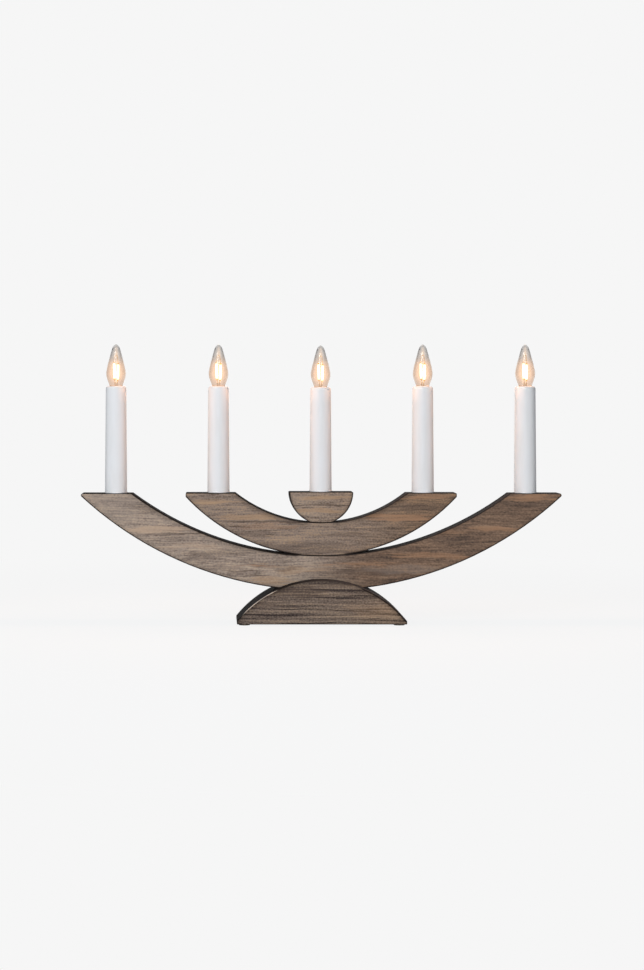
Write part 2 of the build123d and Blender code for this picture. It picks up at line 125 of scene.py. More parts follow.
class Graph:
    """Adds and links the nodes of one tree."""

    def __init__(self, tree: bpy.types.NodeTree) -> None:
        """Keeps the tree and empties it."""
        self.tree = tree
        self.tree.nodes.clear()

    def node(self, kind: str, inputs: dict | None = None, **settings: object) -> bpy.types.Node:
        """Adds a node.

        Args:
            kind: the node's type.
            inputs: what its inputs get, by name or number: a socket, a colour's code or a value.
            settings: the node's own properties.

        Returns:
            The new node.
        """
        made = self.tree.nodes.new(kind)
        for name, value in settings.items():
            setattr(made, name, value)
        for key, value in (inputs or {}).items():
            if isinstance(value, Socket):
                self.tree.links.new(value, made.inputs[key])
            else:
                made.inputs[key].default_value = colour(value) if isinstance(value, str) else value
        return made

    def out(self, kind: str, inputs: dict | None = None, **settings: object) -> Socket:
        """Adds a node and returns its first output."""
        return self.node(kind, inputs, **settings).outputs[0]

    def calc(self, operation: str, *values: object, clamp: bool = False) -> Socket:
        """Adds a sum on numbers and returns its socket."""
        return self.out("ShaderNodeMath", dict(enumerate(values)), operation=operation, use_clamp=clamp)

    def vector(self, operation: str, *values: object) -> Socket:
        """Adds a sum on vectors and returns its socket."""
        return self.out("ShaderNodeVectorMath", dict(enumerate(values)), operation=operation)

    def length(self, vector: Socket) -> Socket:
        """Measures a vector and returns the socket of its length."""
        return self.node("ShaderNodeVectorMath", {0: vector}, operation="LENGTH").outputs[1]

    def split(self, vector: Socket) -> list[Socket]:
        """Takes a vector apart in the sockets of its X, Y and Z."""
        return list(self.node("ShaderNodeSeparateXYZ", {0: vector}).outputs)

    def joined(self, x: object = 0.0, y: object = 0.0, z: object = 0.0) -> Socket:
        """Joins three numbers in a vector and returns its socket."""
        return self.out("ShaderNodeCombineXYZ", {0: x, 1: y, 2: z})

    def mix(self, share: object, first: object, second: object) -> Socket:
        """Blends two colours by a share of the second and returns the socket."""
        return self.node("ShaderNodeMix", {0: share, 6: first, 7: second}, data_type="RGBA").outputs[2]

    def ramp(self, value: object, low: float, high: float, start: float = 0.0, stop: float = 1.0) -> Socket:
        """Turns a number's range from low to high smoothly into one from start to stop."""
        inputs = {0: value, 1: low, 2: high, 3: start, 4: stop}
        return self.out("ShaderNodeMapRange", inputs, interpolation_type="SMOOTHSTEP")

    def noise(self, spot: Socket, grain: Grain) -> Socket:
        """Adds a noise around a half at a place in millimetres and returns its socket."""
        place = self.vector("MULTIPLY", spot, tuple(1 / size for size in grain.size))
        return self.out("ShaderNodeTexNoise", {"Vector": place, "Scale": 1.0, "Detail": grain.detail})

    def around(self, value: Socket, reach: float) -> Socket:
        """Turns noise around a half into a number around zero."""
        return self.calc("MULTIPLY_ADD", value, reach, -reach / 2)


class Surface(Graph):
    """A material in the making: its graph and its place on the piece."""

    def __init__(self, name: str) -> None:
        """Makes the empty material.

        Args:
            name: its name.
        """
        self.material = bpy.data.materials.new(name)
        self.material.use_nodes = True
        super().__init__(self.material.node_tree)
        self.place = self.node("ShaderNodeTexCoord").outputs
        self.spot = self.vector("MULTIPLY", self.place["Object"], (1 / MM,) * 3)

    def ended(self, shader: Socket) -> bpy.types.Material:
        """Ends the material in a shader and returns it."""
        self.node("ShaderNodeOutputMaterial", {0: shader})
        return self.material

    def bump(self, height: Socket, depth: float) -> Socket:
        """Turns a height into a normal; depth is that of a full step, in millimetres."""
        return self.out("ShaderNodeBump", {"Strength": 1.0, "Distance": depth * MM, "Height": height})


@dataclass(frozen=True)
class Finish:
    """A finish with a name, whose material is built once."""

    name: str

    @cache
    def material(self) -> bpy.types.Material:
        """Builds the material the first time and returns it."""
        g = Surface(self.name)
        return g.ended(g.out("ShaderNodeBsdfPrincipled", self.inputs(g)))

    def inputs(self, g: Surface) -> dict[str, object]:
        """Builds the shader's inputs, by name, in the material in the making."""
        raise NotImplementedError


@dataclass(frozen=True)
class Stain:
    """A long spot in a board's front face where the stain took more or less.

    It is centred at x and z, reaches half_length along the grain and half_height across it.
    """

    x: float
    z: float
    half_length: float
    half_height: float
    tone: Tone
    strength: float
    depth: float = 16.0

    def over(self, g: Surface, tone: Socket, spot: Socket, front: float, grain: Socket) -> Socket:
        """Lays the stain over a colour.

        Args:
            g: the material in the making.
            tone: the colour below.
            spot: the place, in millimetres.
            front: where the stained face lies along Y.
            grain: the noise that breaks the stain up.

        Returns:
            The new colour.
        """
        inputs = {
            "Vector": spot,
            "Location": (self.x, front, self.z),
            "Scale": (self.half_length, self.depth, self.half_height),
        }
        placed = g.out("ShaderNodeMapping", inputs, vector_type="TEXTURE")
        inside = g.node("ShaderNodeTexGradient", {0: placed}, gradient_type="SPHERICAL").outputs[1]
        share = g.ramp(inside, 0.0, 0.38, 0.0, self.strength)
        share = g.calc("MULTIPLY", share, g.ramp(grain, 0.3, 0.6, 0.55, 1.0))
        return g.mix(share, tone, self.tone.value)


@dataclass(frozen=True)
class Rim:
    """A round edge of a board, where the stain is darker.

    It lies in the front view, with its centre in the middle plane at a height. Nothing dark shows inside the
    gap, which is where another board is joined to it or where it is sanded.
    """

    centre: float
    radius: float
    strength: float = 0.4
    reach: float = 7.0
    line: float = 0.8
    line_reach: float = 1.7
    gap: tuple[float, float] = (0.0, 0.0)
    gap_edge: float = 4.0

    def share(self, g: Surface, cloud: Socket) -> Socket:
        """How much darker the board is near the edge.

        Args:
            g: the material in the making.
            cloud: the noise that makes the shade uneven.

        Returns:
            The share of the dark.
        """
        flat = g.vector("MULTIPLY", g.vector("SUBTRACT", g.spot, (0, 0, self.centre)), (1, 0, 1))
        away = g.calc("ABSOLUTE", g.calc("SUBTRACT", g.length(flat), self.radius))
        share = g.ramp(away, 0.0, self.reach, self.strength, 0.0)
        share = g.calc("MULTIPLY", share, g.ramp(cloud, 0.25, 0.7, 0.4, 1.3))
        share = g.calc("MAXIMUM", share, g.ramp(away, self.line_reach / 2, self.line_reach, self.line, 0.0))
        left, right = self.gap
        if left == right:
            return share
        across = g.calc("ABSOLUTE", g.calc("SUBTRACT", g.split(g.spot)[0], (left + right) / 2))
        half = (right - left) / 2
        shown = g.ramp(across, half - self.gap_edge, half + self.gap_edge, 0.1, 1.0)
        return g.calc("MULTIPLY", share, shown)


@dataclass(frozen=True)
class WoodFinish(Finish):
    """Brushed and stained pine with dark sawn edges, whose colours drift from left to right. The sawn edges
    also carry painted shade: they are darker on the left half and towards the rear.
    """

    left: Shades
    right: Shades
    sawn: str
    shift: float
    # Painted shade: a near-black copy of the sawn edges' colour, used for the left half.
    sawn_left_painted_shade: str = "#110e0d"
    rim_tone: str = "#15100f"
    # Painted shade: the near-black colour laid over the rear of the sawn edges.
    rear_painted_shade: str = "#060505"
    stains: tuple[Stain, ...] = ()
    # Lighter spots on the chamfers: partly wear, partly a painted highlight where the key light catches them.
    worn_and_lit: tuple[Stain, ...] = ()
    rims: tuple[Rim, ...] = ()
    broad: float = 1.4
    medium: float = 1.3
    fine: float = 2.3
    grit: float = 1.5
    lines: float = 0.25
    pores: float = 0.16
    ridge: float = 0.48
    middle: float = 12.0
    reach: float = 34.0
    drift: float = 60.0
    front: float = -11.0
    rear_painted_shade_share: float = 0.75
    side_reach: float = 50.0
    shift_shares: Size = (3.1, 1.0, 1.7)
    wander: float = 7.0
    fray_along: float = 90.0
    fray_upward: float = 9.0
    broad_grain: Grain = Grain((90, 30, 9), 3.0)
    medium_grain: Grain = Grain((70, 14, 2.6), 3.0)
    fine_grain: Grain = Grain((24, 6, 1.4), 1.5)
    line_grain: Grain = Grain((24, 8, 1.1), 1.5)
    grit_grain: Grain = Grain((1.7, 1.7, 1.2), 0.0)
    wander_grain: Grain = Grain((80, 40, 30), 1.0)
    along_grain: Grain = Grain((30, 30, 1.2))
    upward_grain: Grain = Grain((26, 30, 12), 3.0)

    def inputs(self, g: Surface) -> dict[str, object]:
        """Builds the stained face, the sawn edges and the brushed relief.

        Args:
            g: the material in the making.

        Returns:
            The shader's inputs, by name.
        """
        spot = g.vector("ADD", g.spot, tuple(self.shift * share for share in self.shift_shares))
        wander = g.around(g.noise(spot, self.wander_grain), self.wander)
        bent = g.vector("ADD", spot, g.joined(z=wander))
        broad = g.noise(bent, self.broad_grain)
        medium = g.noise(bent, self.medium_grain)
        fine = g.noise(bent, self.fine_grain)
        grit = g.noise(spot, self.grit_grain)
        lines = g.ramp(g.noise(bent, self.line_grain), 0.54, 0.7)
        level = g.calc("ADD", g.around(broad, self.broad), g.around(medium, self.medium))
        level = g.calc("ADD", level, g.around(fine, self.fine))
        level = g.calc("SUBTRACT", level, g.calc("MULTIPLY", lines, self.lines))
        mottled = g.calc("ADD", level, g.around(grit, self.grit))
        across, depth, _ = g.split(g.spot)
        drift = g.calc("ADD", g.calc("SUBTRACT", across, self.middle), g.around(broad, self.drift))
        half = g.ramp(drift, -self.reach, self.reach)
        base, dark, light = [g.mix(half, left, right) for left, right in zip(self.left, self.right)]
        tone = g.mix(g.calc("MULTIPLY", mottled, -1.0, clamp=True), base, dark)
        tone = g.mix(g.calc("MULTIPLY", mottled, 0.8, clamp=True), tone, light)
        along = g.around(g.noise(g.spot, self.along_grain), self.fray_along)
        upward = g.around(g.noise(g.spot, self.upward_grain), self.fray_upward)
        frayed = g.vector("ADD", g.spot, g.joined(x=along, z=upward))
        for stain in self.stains:
            tone = stain.over(g, tone, frayed, self.front, medium)
        tone = g.mix(g.ramp(level, -1.6, -0.3, self.pores, 0.0), tone, self.sawn)
        tone = g.mix(g.ramp(mottled, 0.1, 1.2, 0.0, 0.4), tone, light)
        tone = g.mix(g.ramp(mottled, -1.2, -0.1, 0.15, 0.0), tone, dark)
        for rim in self.rims:
            tone = g.mix(rim.share(g, broad), tone, self.rim_tone)
        facing = g.calc("ABSOLUTE", g.split(g.place["Normal"])[1])
        # Painted shade: the left half's sawn edges, which face away from the key light, take the darker copy of
        # the edge colour.
        edge = g.mix(g.ramp(across, -self.side_reach, self.side_reach), self.sawn_left_painted_shade, self.sawn)
        edge = g.mix(g.calc("MULTIPLY", fine, 0.15), edge, dark)
        # Painted shade: the sawn edges turn near black towards their rear, standing in for the shade between
        # the boards.
        edge = g.mix(g.ramp(depth, 0.0, -self.rear_painted_shade_share * self.front, 0.0, 0.9), edge, self.rear_painted_shade)
        # The chamfer is painted lighter on the upper left. This is partly wear and partly a painted highlight
        # where the key light falls.
        for stain in self.worn_and_lit:
            worn_and_lit = stain.over(g, edge, g.spot, self.front, broad)
            edge = g.mix(g.ramp(facing, 0.45, 0.65), edge, worn_and_lit)
        height = g.calc("ADD", g.calc("MULTIPLY", fine, 0.6), g.calc("MULTIPLY", medium, 0.5))
        height = g.calc("SUBTRACT", height, g.calc("MULTIPLY", lines, 0.25))
        return {
            "Base Color": g.mix(g.ramp(facing, 0.78, 0.94), edge, tone),
            "Roughness": g.calc("ADD", 0.66, g.around(fine, 0.3)),
            "Specular IOR Level": 0.02,
            "Normal": g.bump(height, self.ridge),
        }


@dataclass(frozen=True)
class PlasticFinish(Finish):
    """Moulded plastic with faint flow marks."""

    tone: str
    shade: str
    roughness: float
    flow: Grain = Grain((6, 6, 40))
    speckle: Grain = Grain((0.6, 0.6, 0.9))
    ripple: float = 0.004

    def inputs(self, g: Surface) -> dict[str, object]:
        """Builds the plastic.

        Args:
            g: the material in the making.

        Returns:
            The shader's inputs, by name.
        """
        flow = g.noise(g.spot, self.flow)
        speckle = g.noise(g.spot, self.speckle)
        height = g.calc("ADD", flow, g.calc("MULTIPLY", speckle, 0.25))
        return {
            "Base Color": g.mix(g.ramp(flow, 0.35, 0.7), self.tone, self.shade),
            "Roughness": g.calc("ADD", self.roughness, g.around(speckle, 0.08)),
            "Specular IOR Level": 0.5,
            "Normal": g.bump(height, self.ripple),
        }


@dataclass(frozen=True)
class MetalFinish(Finish):
    """Plated or pressed metal with fine drawing lines and dull spots."""

    tone: str
    dull: str
    roughness: float
    lines: Grain = Grain((4, 4, 0.15))
    spots: Grain = Grain((2.5, 2.5, 2.5), 3.0)
    line_depth: float = 0.01

    def inputs(self, g: Surface) -> dict[str, object]:
        """Builds the metal.

        Args:
            g: the material in the making.

        Returns:
            The shader's inputs, by name.
        """
        spots = g.noise(g.spot, self.spots)
        return {
            "Base Color": g.mix(g.ramp(spots, 0.45, 0.75), self.tone, self.dull),
            "Metallic": 1.0,
            "Roughness": g.calc("ADD", self.roughness, g.around(spots, 0.3)),
            "Normal": g.bump(g.noise(g.spot, self.lines), self.line_depth),
        }


@dataclass(frozen=True)
class FeltFinish(Finish):
    """Pressed felt, with loose fibres."""

    tone: str
    fibre: str
    fibres: Grain = Grain((0.9, 0.25, 0.25), 3.0)
    cloud: Grain = Grain((2, 2, 2))
    fibre_depth: float = 0.2

    def inputs(self, g: Surface) -> dict[str, object]:
        """Builds the felt.

        Args:
            g: the material in the making.

        Returns:
            The shader's inputs, by name.
        """
        fibres = g.noise(g.spot, self.fibres)
        share = g.ramp(g.calc("ADD", fibres, g.noise(g.spot, self.cloud)), 0.8, 1.2)
        return {
            "Base Color": g.mix(share, self.tone, self.fibre),
            "Roughness": 0.95,
            "Specular IOR Level": 0.1,
            "Sheen Weight": 0.3,
            "Normal": g.bump(fibres, self.fibre_depth),
        }


@dataclass(frozen=True)
class GlassFinish(Finish):
    """Clear blown glass that is greyer where it is seen edge on. It has a painted glow near its filaments and a
    painted reflection, a bright streak, in its tip.
    """

    clear: str = "#e6e4e2"
    warm: str = "#ddd8d6"
    edge: str = "#a8a3a0"
    glow: str = "#ffbd6e"
    glow_strength: float = 0.1
    halo: float = 0.16
    tip_reflection: float = 0.16
    waves: Grain = Grain((3, 3, 9))
    wave_depth: float = 0.02

    def inputs(self, g: Surface) -> dict[str, object]:
        """Builds the glass; the piece's attribute glow says where its painted glow and painted reflection go.

        Args:
            g: the material in the making.

        Returns:
            The shader's inputs, by name.
        """
        facing = g.node("ShaderNodeLayerWeight", {0: 0.5}).outputs[1]
        waves = g.noise(g.spot, self.waves)
        lit, hot, tip = g.split(g.node("ShaderNodeAttribute", attribute_name="glow").outputs["Vector"])
        # Painted light: where the glow is painted, the glass is tinted warmer and less grey at its edges.
        tone = g.mix(lit, self.clear, self.warm)
        tone = g.mix(g.calc("MULTIPLY", facing, g.ramp(lit, 0.0, 1.0, 1.0, 0.5)), tone, self.edge)
        toward = g.calc("SUBTRACT", 1.0, facing, clamp=True)
        # Painted light: the glass itself emits the filaments' glow round them and a painted reflection in its
        # tip.
        strength = 0.0
        for share, power, most in (
            (lit, 0.4, self.glow_strength),
            (hot, 6.0, self.halo),
            (tip, 20.0, self.tip_reflection),
        ):
            near = g.calc("MULTIPLY", share, g.calc("POWER", toward, power))
            strength = g.calc("MULTIPLY_ADD", near, most, strength)
        return {
            "Base Color": tone,
            "Roughness": g.ramp(waves, 0.3, 0.8, 0.0, 0.02),
            "IOR": 1.46,
            "Transmission Weight": 1.0,
            "Emission Color": self.glow,
            "Emission Strength": strength,
            "Normal": g.bump(waves, self.wave_depth),
        }


@dataclass(frozen=True)
class GlowFinish(Finish):
    """A coated filament stick that glows white hot in its middle and weaker at its ends."""

    tone: str = "#ffd9a3"
    hot: str = "#fff0d6"
    strength: float = 6.0
    end_share: float = 0.1
    beads: Grain = Grain((0.5, 0.5, 0.8), 1.0)
    bead_depth: float = 0.05

    def inputs(self, g: Surface) -> dict[str, object]:
        """Builds the coating; the piece's attribute warmth says how hot it is.

        Args:
            g: the material in the making.

        Returns:
            The shader's inputs, by name.
        """
        beads = g.noise(g.spot, self.beads)
        warmth = g.node("ShaderNodeAttribute", attribute_name="warmth").outputs["Fac"]
        return {
            "Base Color": self.tone,
            "Roughness": 0.6,
            "Emission Color": g.mix(g.ramp(beads, 0.35, 0.65), self.tone, self.hot),
            "Emission Strength": g.ramp(warmth, 0.0, 1.0, self.strength * self.end_share, self.strength),
            "Normal": g.bump(beads, self.bead_depth),
        }


SLEEVE = PlasticFinish("sleeve_plastic", "#e0e3e7", "#dcdfe2", 0.2)
HOLDER = PlasticFinish("holder_plastic", "#e9e7e0", "#dedbd2", 0.45, Grain((5, 5, 5)))
SHEATH = PlasticFinish("lead_sheath", "#e6e6e2", "#d6d6d0", 0.5, Grain((9, 2, 2)), ripple=0.02)
INSULATOR = PlasticFinish("insulator_glass", "#15130f", "#2a2420", 0.15, Grain((2, 2, 2)))
CAP = MetalFinish("cap_metal", "#d7b46a", "#a98443", 0.28)
BRASS = MetalFinish("contact_brass", "#d2ab5c", "#9f7a3c", 0.32, Grain((0.2, 3, 3)))
STEEL = MetalFinish("zinc_steel", "#c4c4c2", "#96989c", 0.34)
FELT = FeltFinish("pad_felt", "#6b6056", "#8b8176")
GLASS = GlassFinish("lamp_glass")
FILAMENT = GlowFinish("filament_coating")
BEECH = Shades("#cda873", "#b58c58", "#dcbd8c")
DOWEL = WoodFinish("dowel_beech", BEECH, BEECH, "#c59d68", 31.0, "#c59d68", ridge=0.12)


def linked(name: str, data: bpy.types.ID) -> bpy.types.Object:
    """Puts an object in the scene.

    Args:
        name: its name.
        data: its mesh, light or camera.

    Returns:
        The object.
    """
    made = bpy.data.objects.new(name, data)
    bpy.context.scene.collection.objects.link(made)
    return made


def named_piece(name: str, mesh: Mesh, body: str, replaced: str = "") -> bpy.types.Object:
    """Puts a finished mesh in the scene as a piece.

    Args:
        name: the piece's name.
        mesh: its mesh, in place and in metres.
        body: the body that it rides on.
        replaced: the node that it stands for, if any.

    Returns:
        The piece.
    """
    piece = linked(name, mesh)
    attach(piece, body)
    if replaced:
        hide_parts(replaced)
    log.info("%s: %d faces on %s", name, len(mesh.polygons), body)
    return piece


def dress(finish: Finish, *nodes: str) -> None:
    """Gives nodes of the frame their finish, in every slot.

    Args:
        finish: the finish.
        nodes: the nodes' names.
    """
    for node in nodes:
        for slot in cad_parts[node].material_slots:
            slot.material = finish.material()
        log.info("%s: dressed in %s", node, finish.name)


class Solid:
    """A mesh built in millimetres around an upright axis, then put in its place."""

    pole: float = 1e-6

    def __init__(self, name: str) -> None:
        """Starts an empty mesh."""
        self.name = name
        self.bm = bmesh.new()

    def ring(self, spots: list) -> list[bmesh.types.BMVert]:
        """Adds a ring of corners and returns them."""
        return [self.bm.verts.new(spot) for spot in spots]

    def turned(self, profile: Outline, segments: int, flutes: int = 0, depth: float = 0.0) -> None:
        """Adds a closed shape of revolution.

        Args:
            profile: radius and height of each point of the outline, in order; a radius of zero is a pole.
            segments: how many faces go round.
            flutes: how many shallow flutes run up the shape.
            depth: the share of the radius that a flute takes at its deepest.
        """
        angles = [2 * math.pi * step / segments for step in range(segments)]
        rings = []
        for radius, height in profile:
            reaches = [radius * (1 - depth * (0.5 + 0.5 * math.cos(flutes * angle))) for angle in angles]
            spots = [(r * math.cos(a), r * math.sin(a), height) for r, a in zip(reaches, angles)]
            rings.append(self.ring([(0, 0, height)] if radius < self.pole else spots))
        for low, high in zip(rings, rings[1:] + rings[:1]):
            self.bridged(low, high)

    def bridged(self, low: list, high: list) -> None:
        """Closes the gap between two rings.

        Args:
            low: one ring, or a pole.
            high: the other one.
        """
        count = max(len(low), len(high))
        if count == 1:
            return
        for step in range(count):
            after = (step + 1) % count
            corners = [low[step % len(low)], low[after % len(low)]]
            corners += [high[after % len(high)], high[step % len(high)]]
            self.bm.faces.new(dict.fromkeys(corners))

    def tube(self, path: list[Vector], radius: float, sides: int = 10) -> None:
        """Adds a round wire along a path, closed at both ends.

        Args:
            path: the points of its middle line.
            radius: the wire's radius.
            sides: how many faces go round.
        """
        angles = [2 * math.pi * step / sides for step in range(sides)]
        rings = []
        for spot, point in enumerate(path):
            way = path[min(spot + 1, len(path) - 1)] - path[max(spot - 1, 0)]
            turn = way.to_track_quat("Z", "Y").to_matrix()
            around = [turn @ Vector((math.cos(a), math.sin(a), 0)) * radius for a in angles]
            rings.append(self.ring([point + reach for reach in around]))
        for low, high in zip(rings, rings[1:]):
            self.bridged(low, high)
        self.bm.faces.new(rings[0][::-1])
        self.bm.faces.new(rings[-1])

    def mesh(self, place: Vector, finish: Finish, sharp: float = 40.0) -> Mesh:
        """Moves the shape to its place and ends it.

        Args:
            place: where the shape's zero comes, in metres.
            finish: its finish.
            sharp: edges with more than this angle between their faces stay sharp, in degrees.

        Returns:
            The mesh, in metres.
        """
        bmesh.ops.recalc_face_normals(self.bm, faces=self.bm.faces)
        self.bm.transform(Matrix.Translation(place) @ Matrix.Scale(MM, 4))
        made = bpy.data.meshes.new(self.name)
        self.bm.to_mesh(made)
        self.bm.free()
        made.materials.append(finish.material())
        made.shade_smooth()
        made.set_sharp_from_angle(angle=math.radians(sharp))
        return made


def eased(points: Outline, start: tuple[float, float], stop: tuple[float, float], steps: int) -> Outline:
    """Draws a smooth line through points.

    Args:
        points: the points that the line goes through.
        start: its direction at the first point.
        stop: its direction at the last one.
        steps: how many pieces each stretch is divided in.

    Returns:
        The points of the line.
    """
    spots = [Vector(point) for point in points]
    slopes = [Vector(start)]
    for before, here, behind in zip(spots, spots[1:], spots[2:]):
        first, last = here - before, behind - here
        slopes.append(first * (last.length / first.length) + last * (first.length / last.length))
    slopes.append(Vector(stop))
    line = []
    for low, high, leave, arrive in zip(spots, spots[1:], slopes, slopes[1:]):
        reach = (high - low).length
        first = leave.normalized() * reach
        last = arrive.normalized() * reach
        for step in range(steps):
            t = step / steps
            a, b, c, d = 2 * t**3 - 3 * t**2 + 1, t**3 - 2 * t**2 + t, -2 * t**3 + 3 * t**2, t**3 - t**2
            spot = low * a + first * b + high * c + last * d
            line.append((spot.x, spot.y))
    return [*line, (spots[-1].x, spots[-1].y)]


class GrowTree:
    """A geometry node tree with named inputs, and the modifier that runs it on a piece."""

    def __init__(self, name: str, numbers: tuple[str, ...], counts: tuple[str, ...] = ()) -> None:
        """Makes the tree.

        Args:
            name: its name.
            numbers: the names of its inputs that are sizes or other numbers.
            counts: the names of its inputs that are counts.
        """
        kinds = {"Geometry": "NodeSocketGeometry", "Material": "NodeSocketMaterial"}
        kinds |= dict.fromkeys(numbers, "NodeSocketFloat") | dict.fromkeys(counts, "NodeSocketInt")
        self.tree = bpy.data.node_groups.new(name, "GeometryNodeTree")
        self.keys = {}
        for label, kind in kinds.items():
            socket = self.tree.interface.new_socket(name=label, in_out="INPUT", socket_type=kind)
            self.keys[label] = socket.identifier
        self.tree.interface.new_socket(name="Geometry", in_out="OUTPUT", socket_type="NodeSocketGeometry")
        self.graph = Graph(self.tree)
        self.given = self.graph.node("NodeGroupInput").outputs

    def close(self, shape: Socket) -> None:
        """Ends the tree in real, smooth geometry with its material.

        Args:
            shape: the socket of the shape.
        """
        real = self.graph.out("GeometryNodeRealizeInstances", {0: shape})
        smooth = self.graph.out("GeometryNodeSetShadeSmooth", {0: real})
        inputs = {"Geometry": smooth, "Material": self.given["Material"]}
        self.graph.node("NodeGroupOutput", {0: self.graph.out("GeometryNodeSetMaterial", inputs)})

    def grown(self, name: str, mesh: Mesh, finish: Finish, values: dict[str, float]) -> Mesh:
        """Runs the tree on a mesh.

        Args:
            name: the new mesh's name.
            mesh: the mesh that goes in.
            finish: the finish of what comes out.
            values: what each named number and count gets.

        Returns:
            The plain mesh that comes out.
        """
        holder = linked(name, mesh)
        modifier = holder.modifiers.new(name, "NODES")
        modifier.node_group = self.tree
        for label, value in {**values, "Material": finish.material()}.items():
            modifier[self.keys[label]] = value
        graph = bpy.context.evaluated_depsgraph_get()
        made = bpy.data.meshes.new_from_object(holder.evaluated_get(graph))
        made.name = name
        bpy.data.objects.remove(holder)
        return made


class Ridge(NamedTuple):
    """A thread's ridge: the radius of its middle line, its own radius, its pitch and its turns."""

    radius: float
    half: float
    pitch: float
    turns: float


class ThreadTree(GrowTree):
    """A round ridge that climbs round an upright axis, right-handed, and joins what it is rolled in."""

    steps: int = 36
    sides: int = 10

    def __init__(self) -> None:
        """Builds the tree."""
        super().__init__("rolled_thread", ("Radius", "Ridge", "Pitch", "Turns", "Across", "Low"))
        g, given = self.graph, self.given
        inputs = {
            "Resolution": self.steps,
            "Rotations": given["Turns"],
            "Start Radius": given["Radius"],
            "End Radius": given["Radius"],
            "Height": g.calc("MULTIPLY", given["Pitch"], given["Turns"]),
            "Reverse": True,
        }
        spiral = g.out("GeometryNodeCurveSpiral", inputs)
        inputs = {"Resolution": self.sides, "Radius": given["Ridge"]}
        section = g.out("GeometryNodeCurvePrimitiveCircle", inputs)
        ridge = g.out("GeometryNodeCurveToMesh", {0: spiral, 1: section, "Fill Caps": True})
        place = g.joined(x=given["Across"], z=given["Low"])
        placed = g.out("GeometryNodeTransform", {"Geometry": ridge, "Translation": place})
        both = g.node("GeometryNodeJoinGeometry", {0: placed})
        self.tree.links.new(given["Geometry"], both.inputs[0])
        self.close(both.outputs[0])

    def rolled(self, name: str, mesh: Mesh, finish: Finish, ridge: Ridge, across: float, low: float) -> Mesh:
        """Rolls a ridge in a mesh.

        Args:
            name: the new mesh's name.
            mesh: the mesh.
            finish: the finish of both.
            ridge: the ridge's sizes.
            across: where its axis stands along the arch, in metres.
            low: the height where it begins, in metres.

        Returns:
            The new mesh.
        """
        values = {
            "Radius": ridge.radius * MM,
            "Ridge": ridge.half * MM,
            "Pitch": ridge.pitch * MM,
            "Turns": ridge.turns,
            "Across": across,
            "Low": low,
        }
        return self.grown(name, mesh, finish, values)


class StapleTree(GrowTree):
    """Copies of a staple across a groove, evenly spread along its arc in the rear faces."""

    def __init__(self) -> None:
        """Builds the tree."""
        super().__init__("staple_row", ("Radius", "Centre", "Start", "Sweep", "Plane"), ("Count",))
        g, given = self.graph, self.given
        inputs = {
            "Resolution": given["Count"],
            "Radius": given["Radius"],
            "Start Angle": given["Start"],
            "Sweep Angle": given["Sweep"],
        }
        arc = g.out("GeometryNodeCurveArc", inputs, mode="RADIUS")
        spots = g.out("GeometryNodeCurveToPoints", {0: arc}, mode="EVALUATED")
        x, y, _ = g.split(g.out("GeometryNodeInputPosition"))
        turn = g.joined(z=g.calc("ARCTAN2", y, x))
        inputs = {"Points": spots, "Instance": given["Geometry"], "Rotation": turn}
        copies = g.out("GeometryNodeInstanceOnPoints", inputs)
        place = g.joined(y=given["Plane"], z=given["Centre"])
        inputs = {"Geometry": copies, "Translation": place, "Rotation": (math.pi / 2, 0, 0)}
        self.close(g.out("GeometryNodeTransform", inputs))


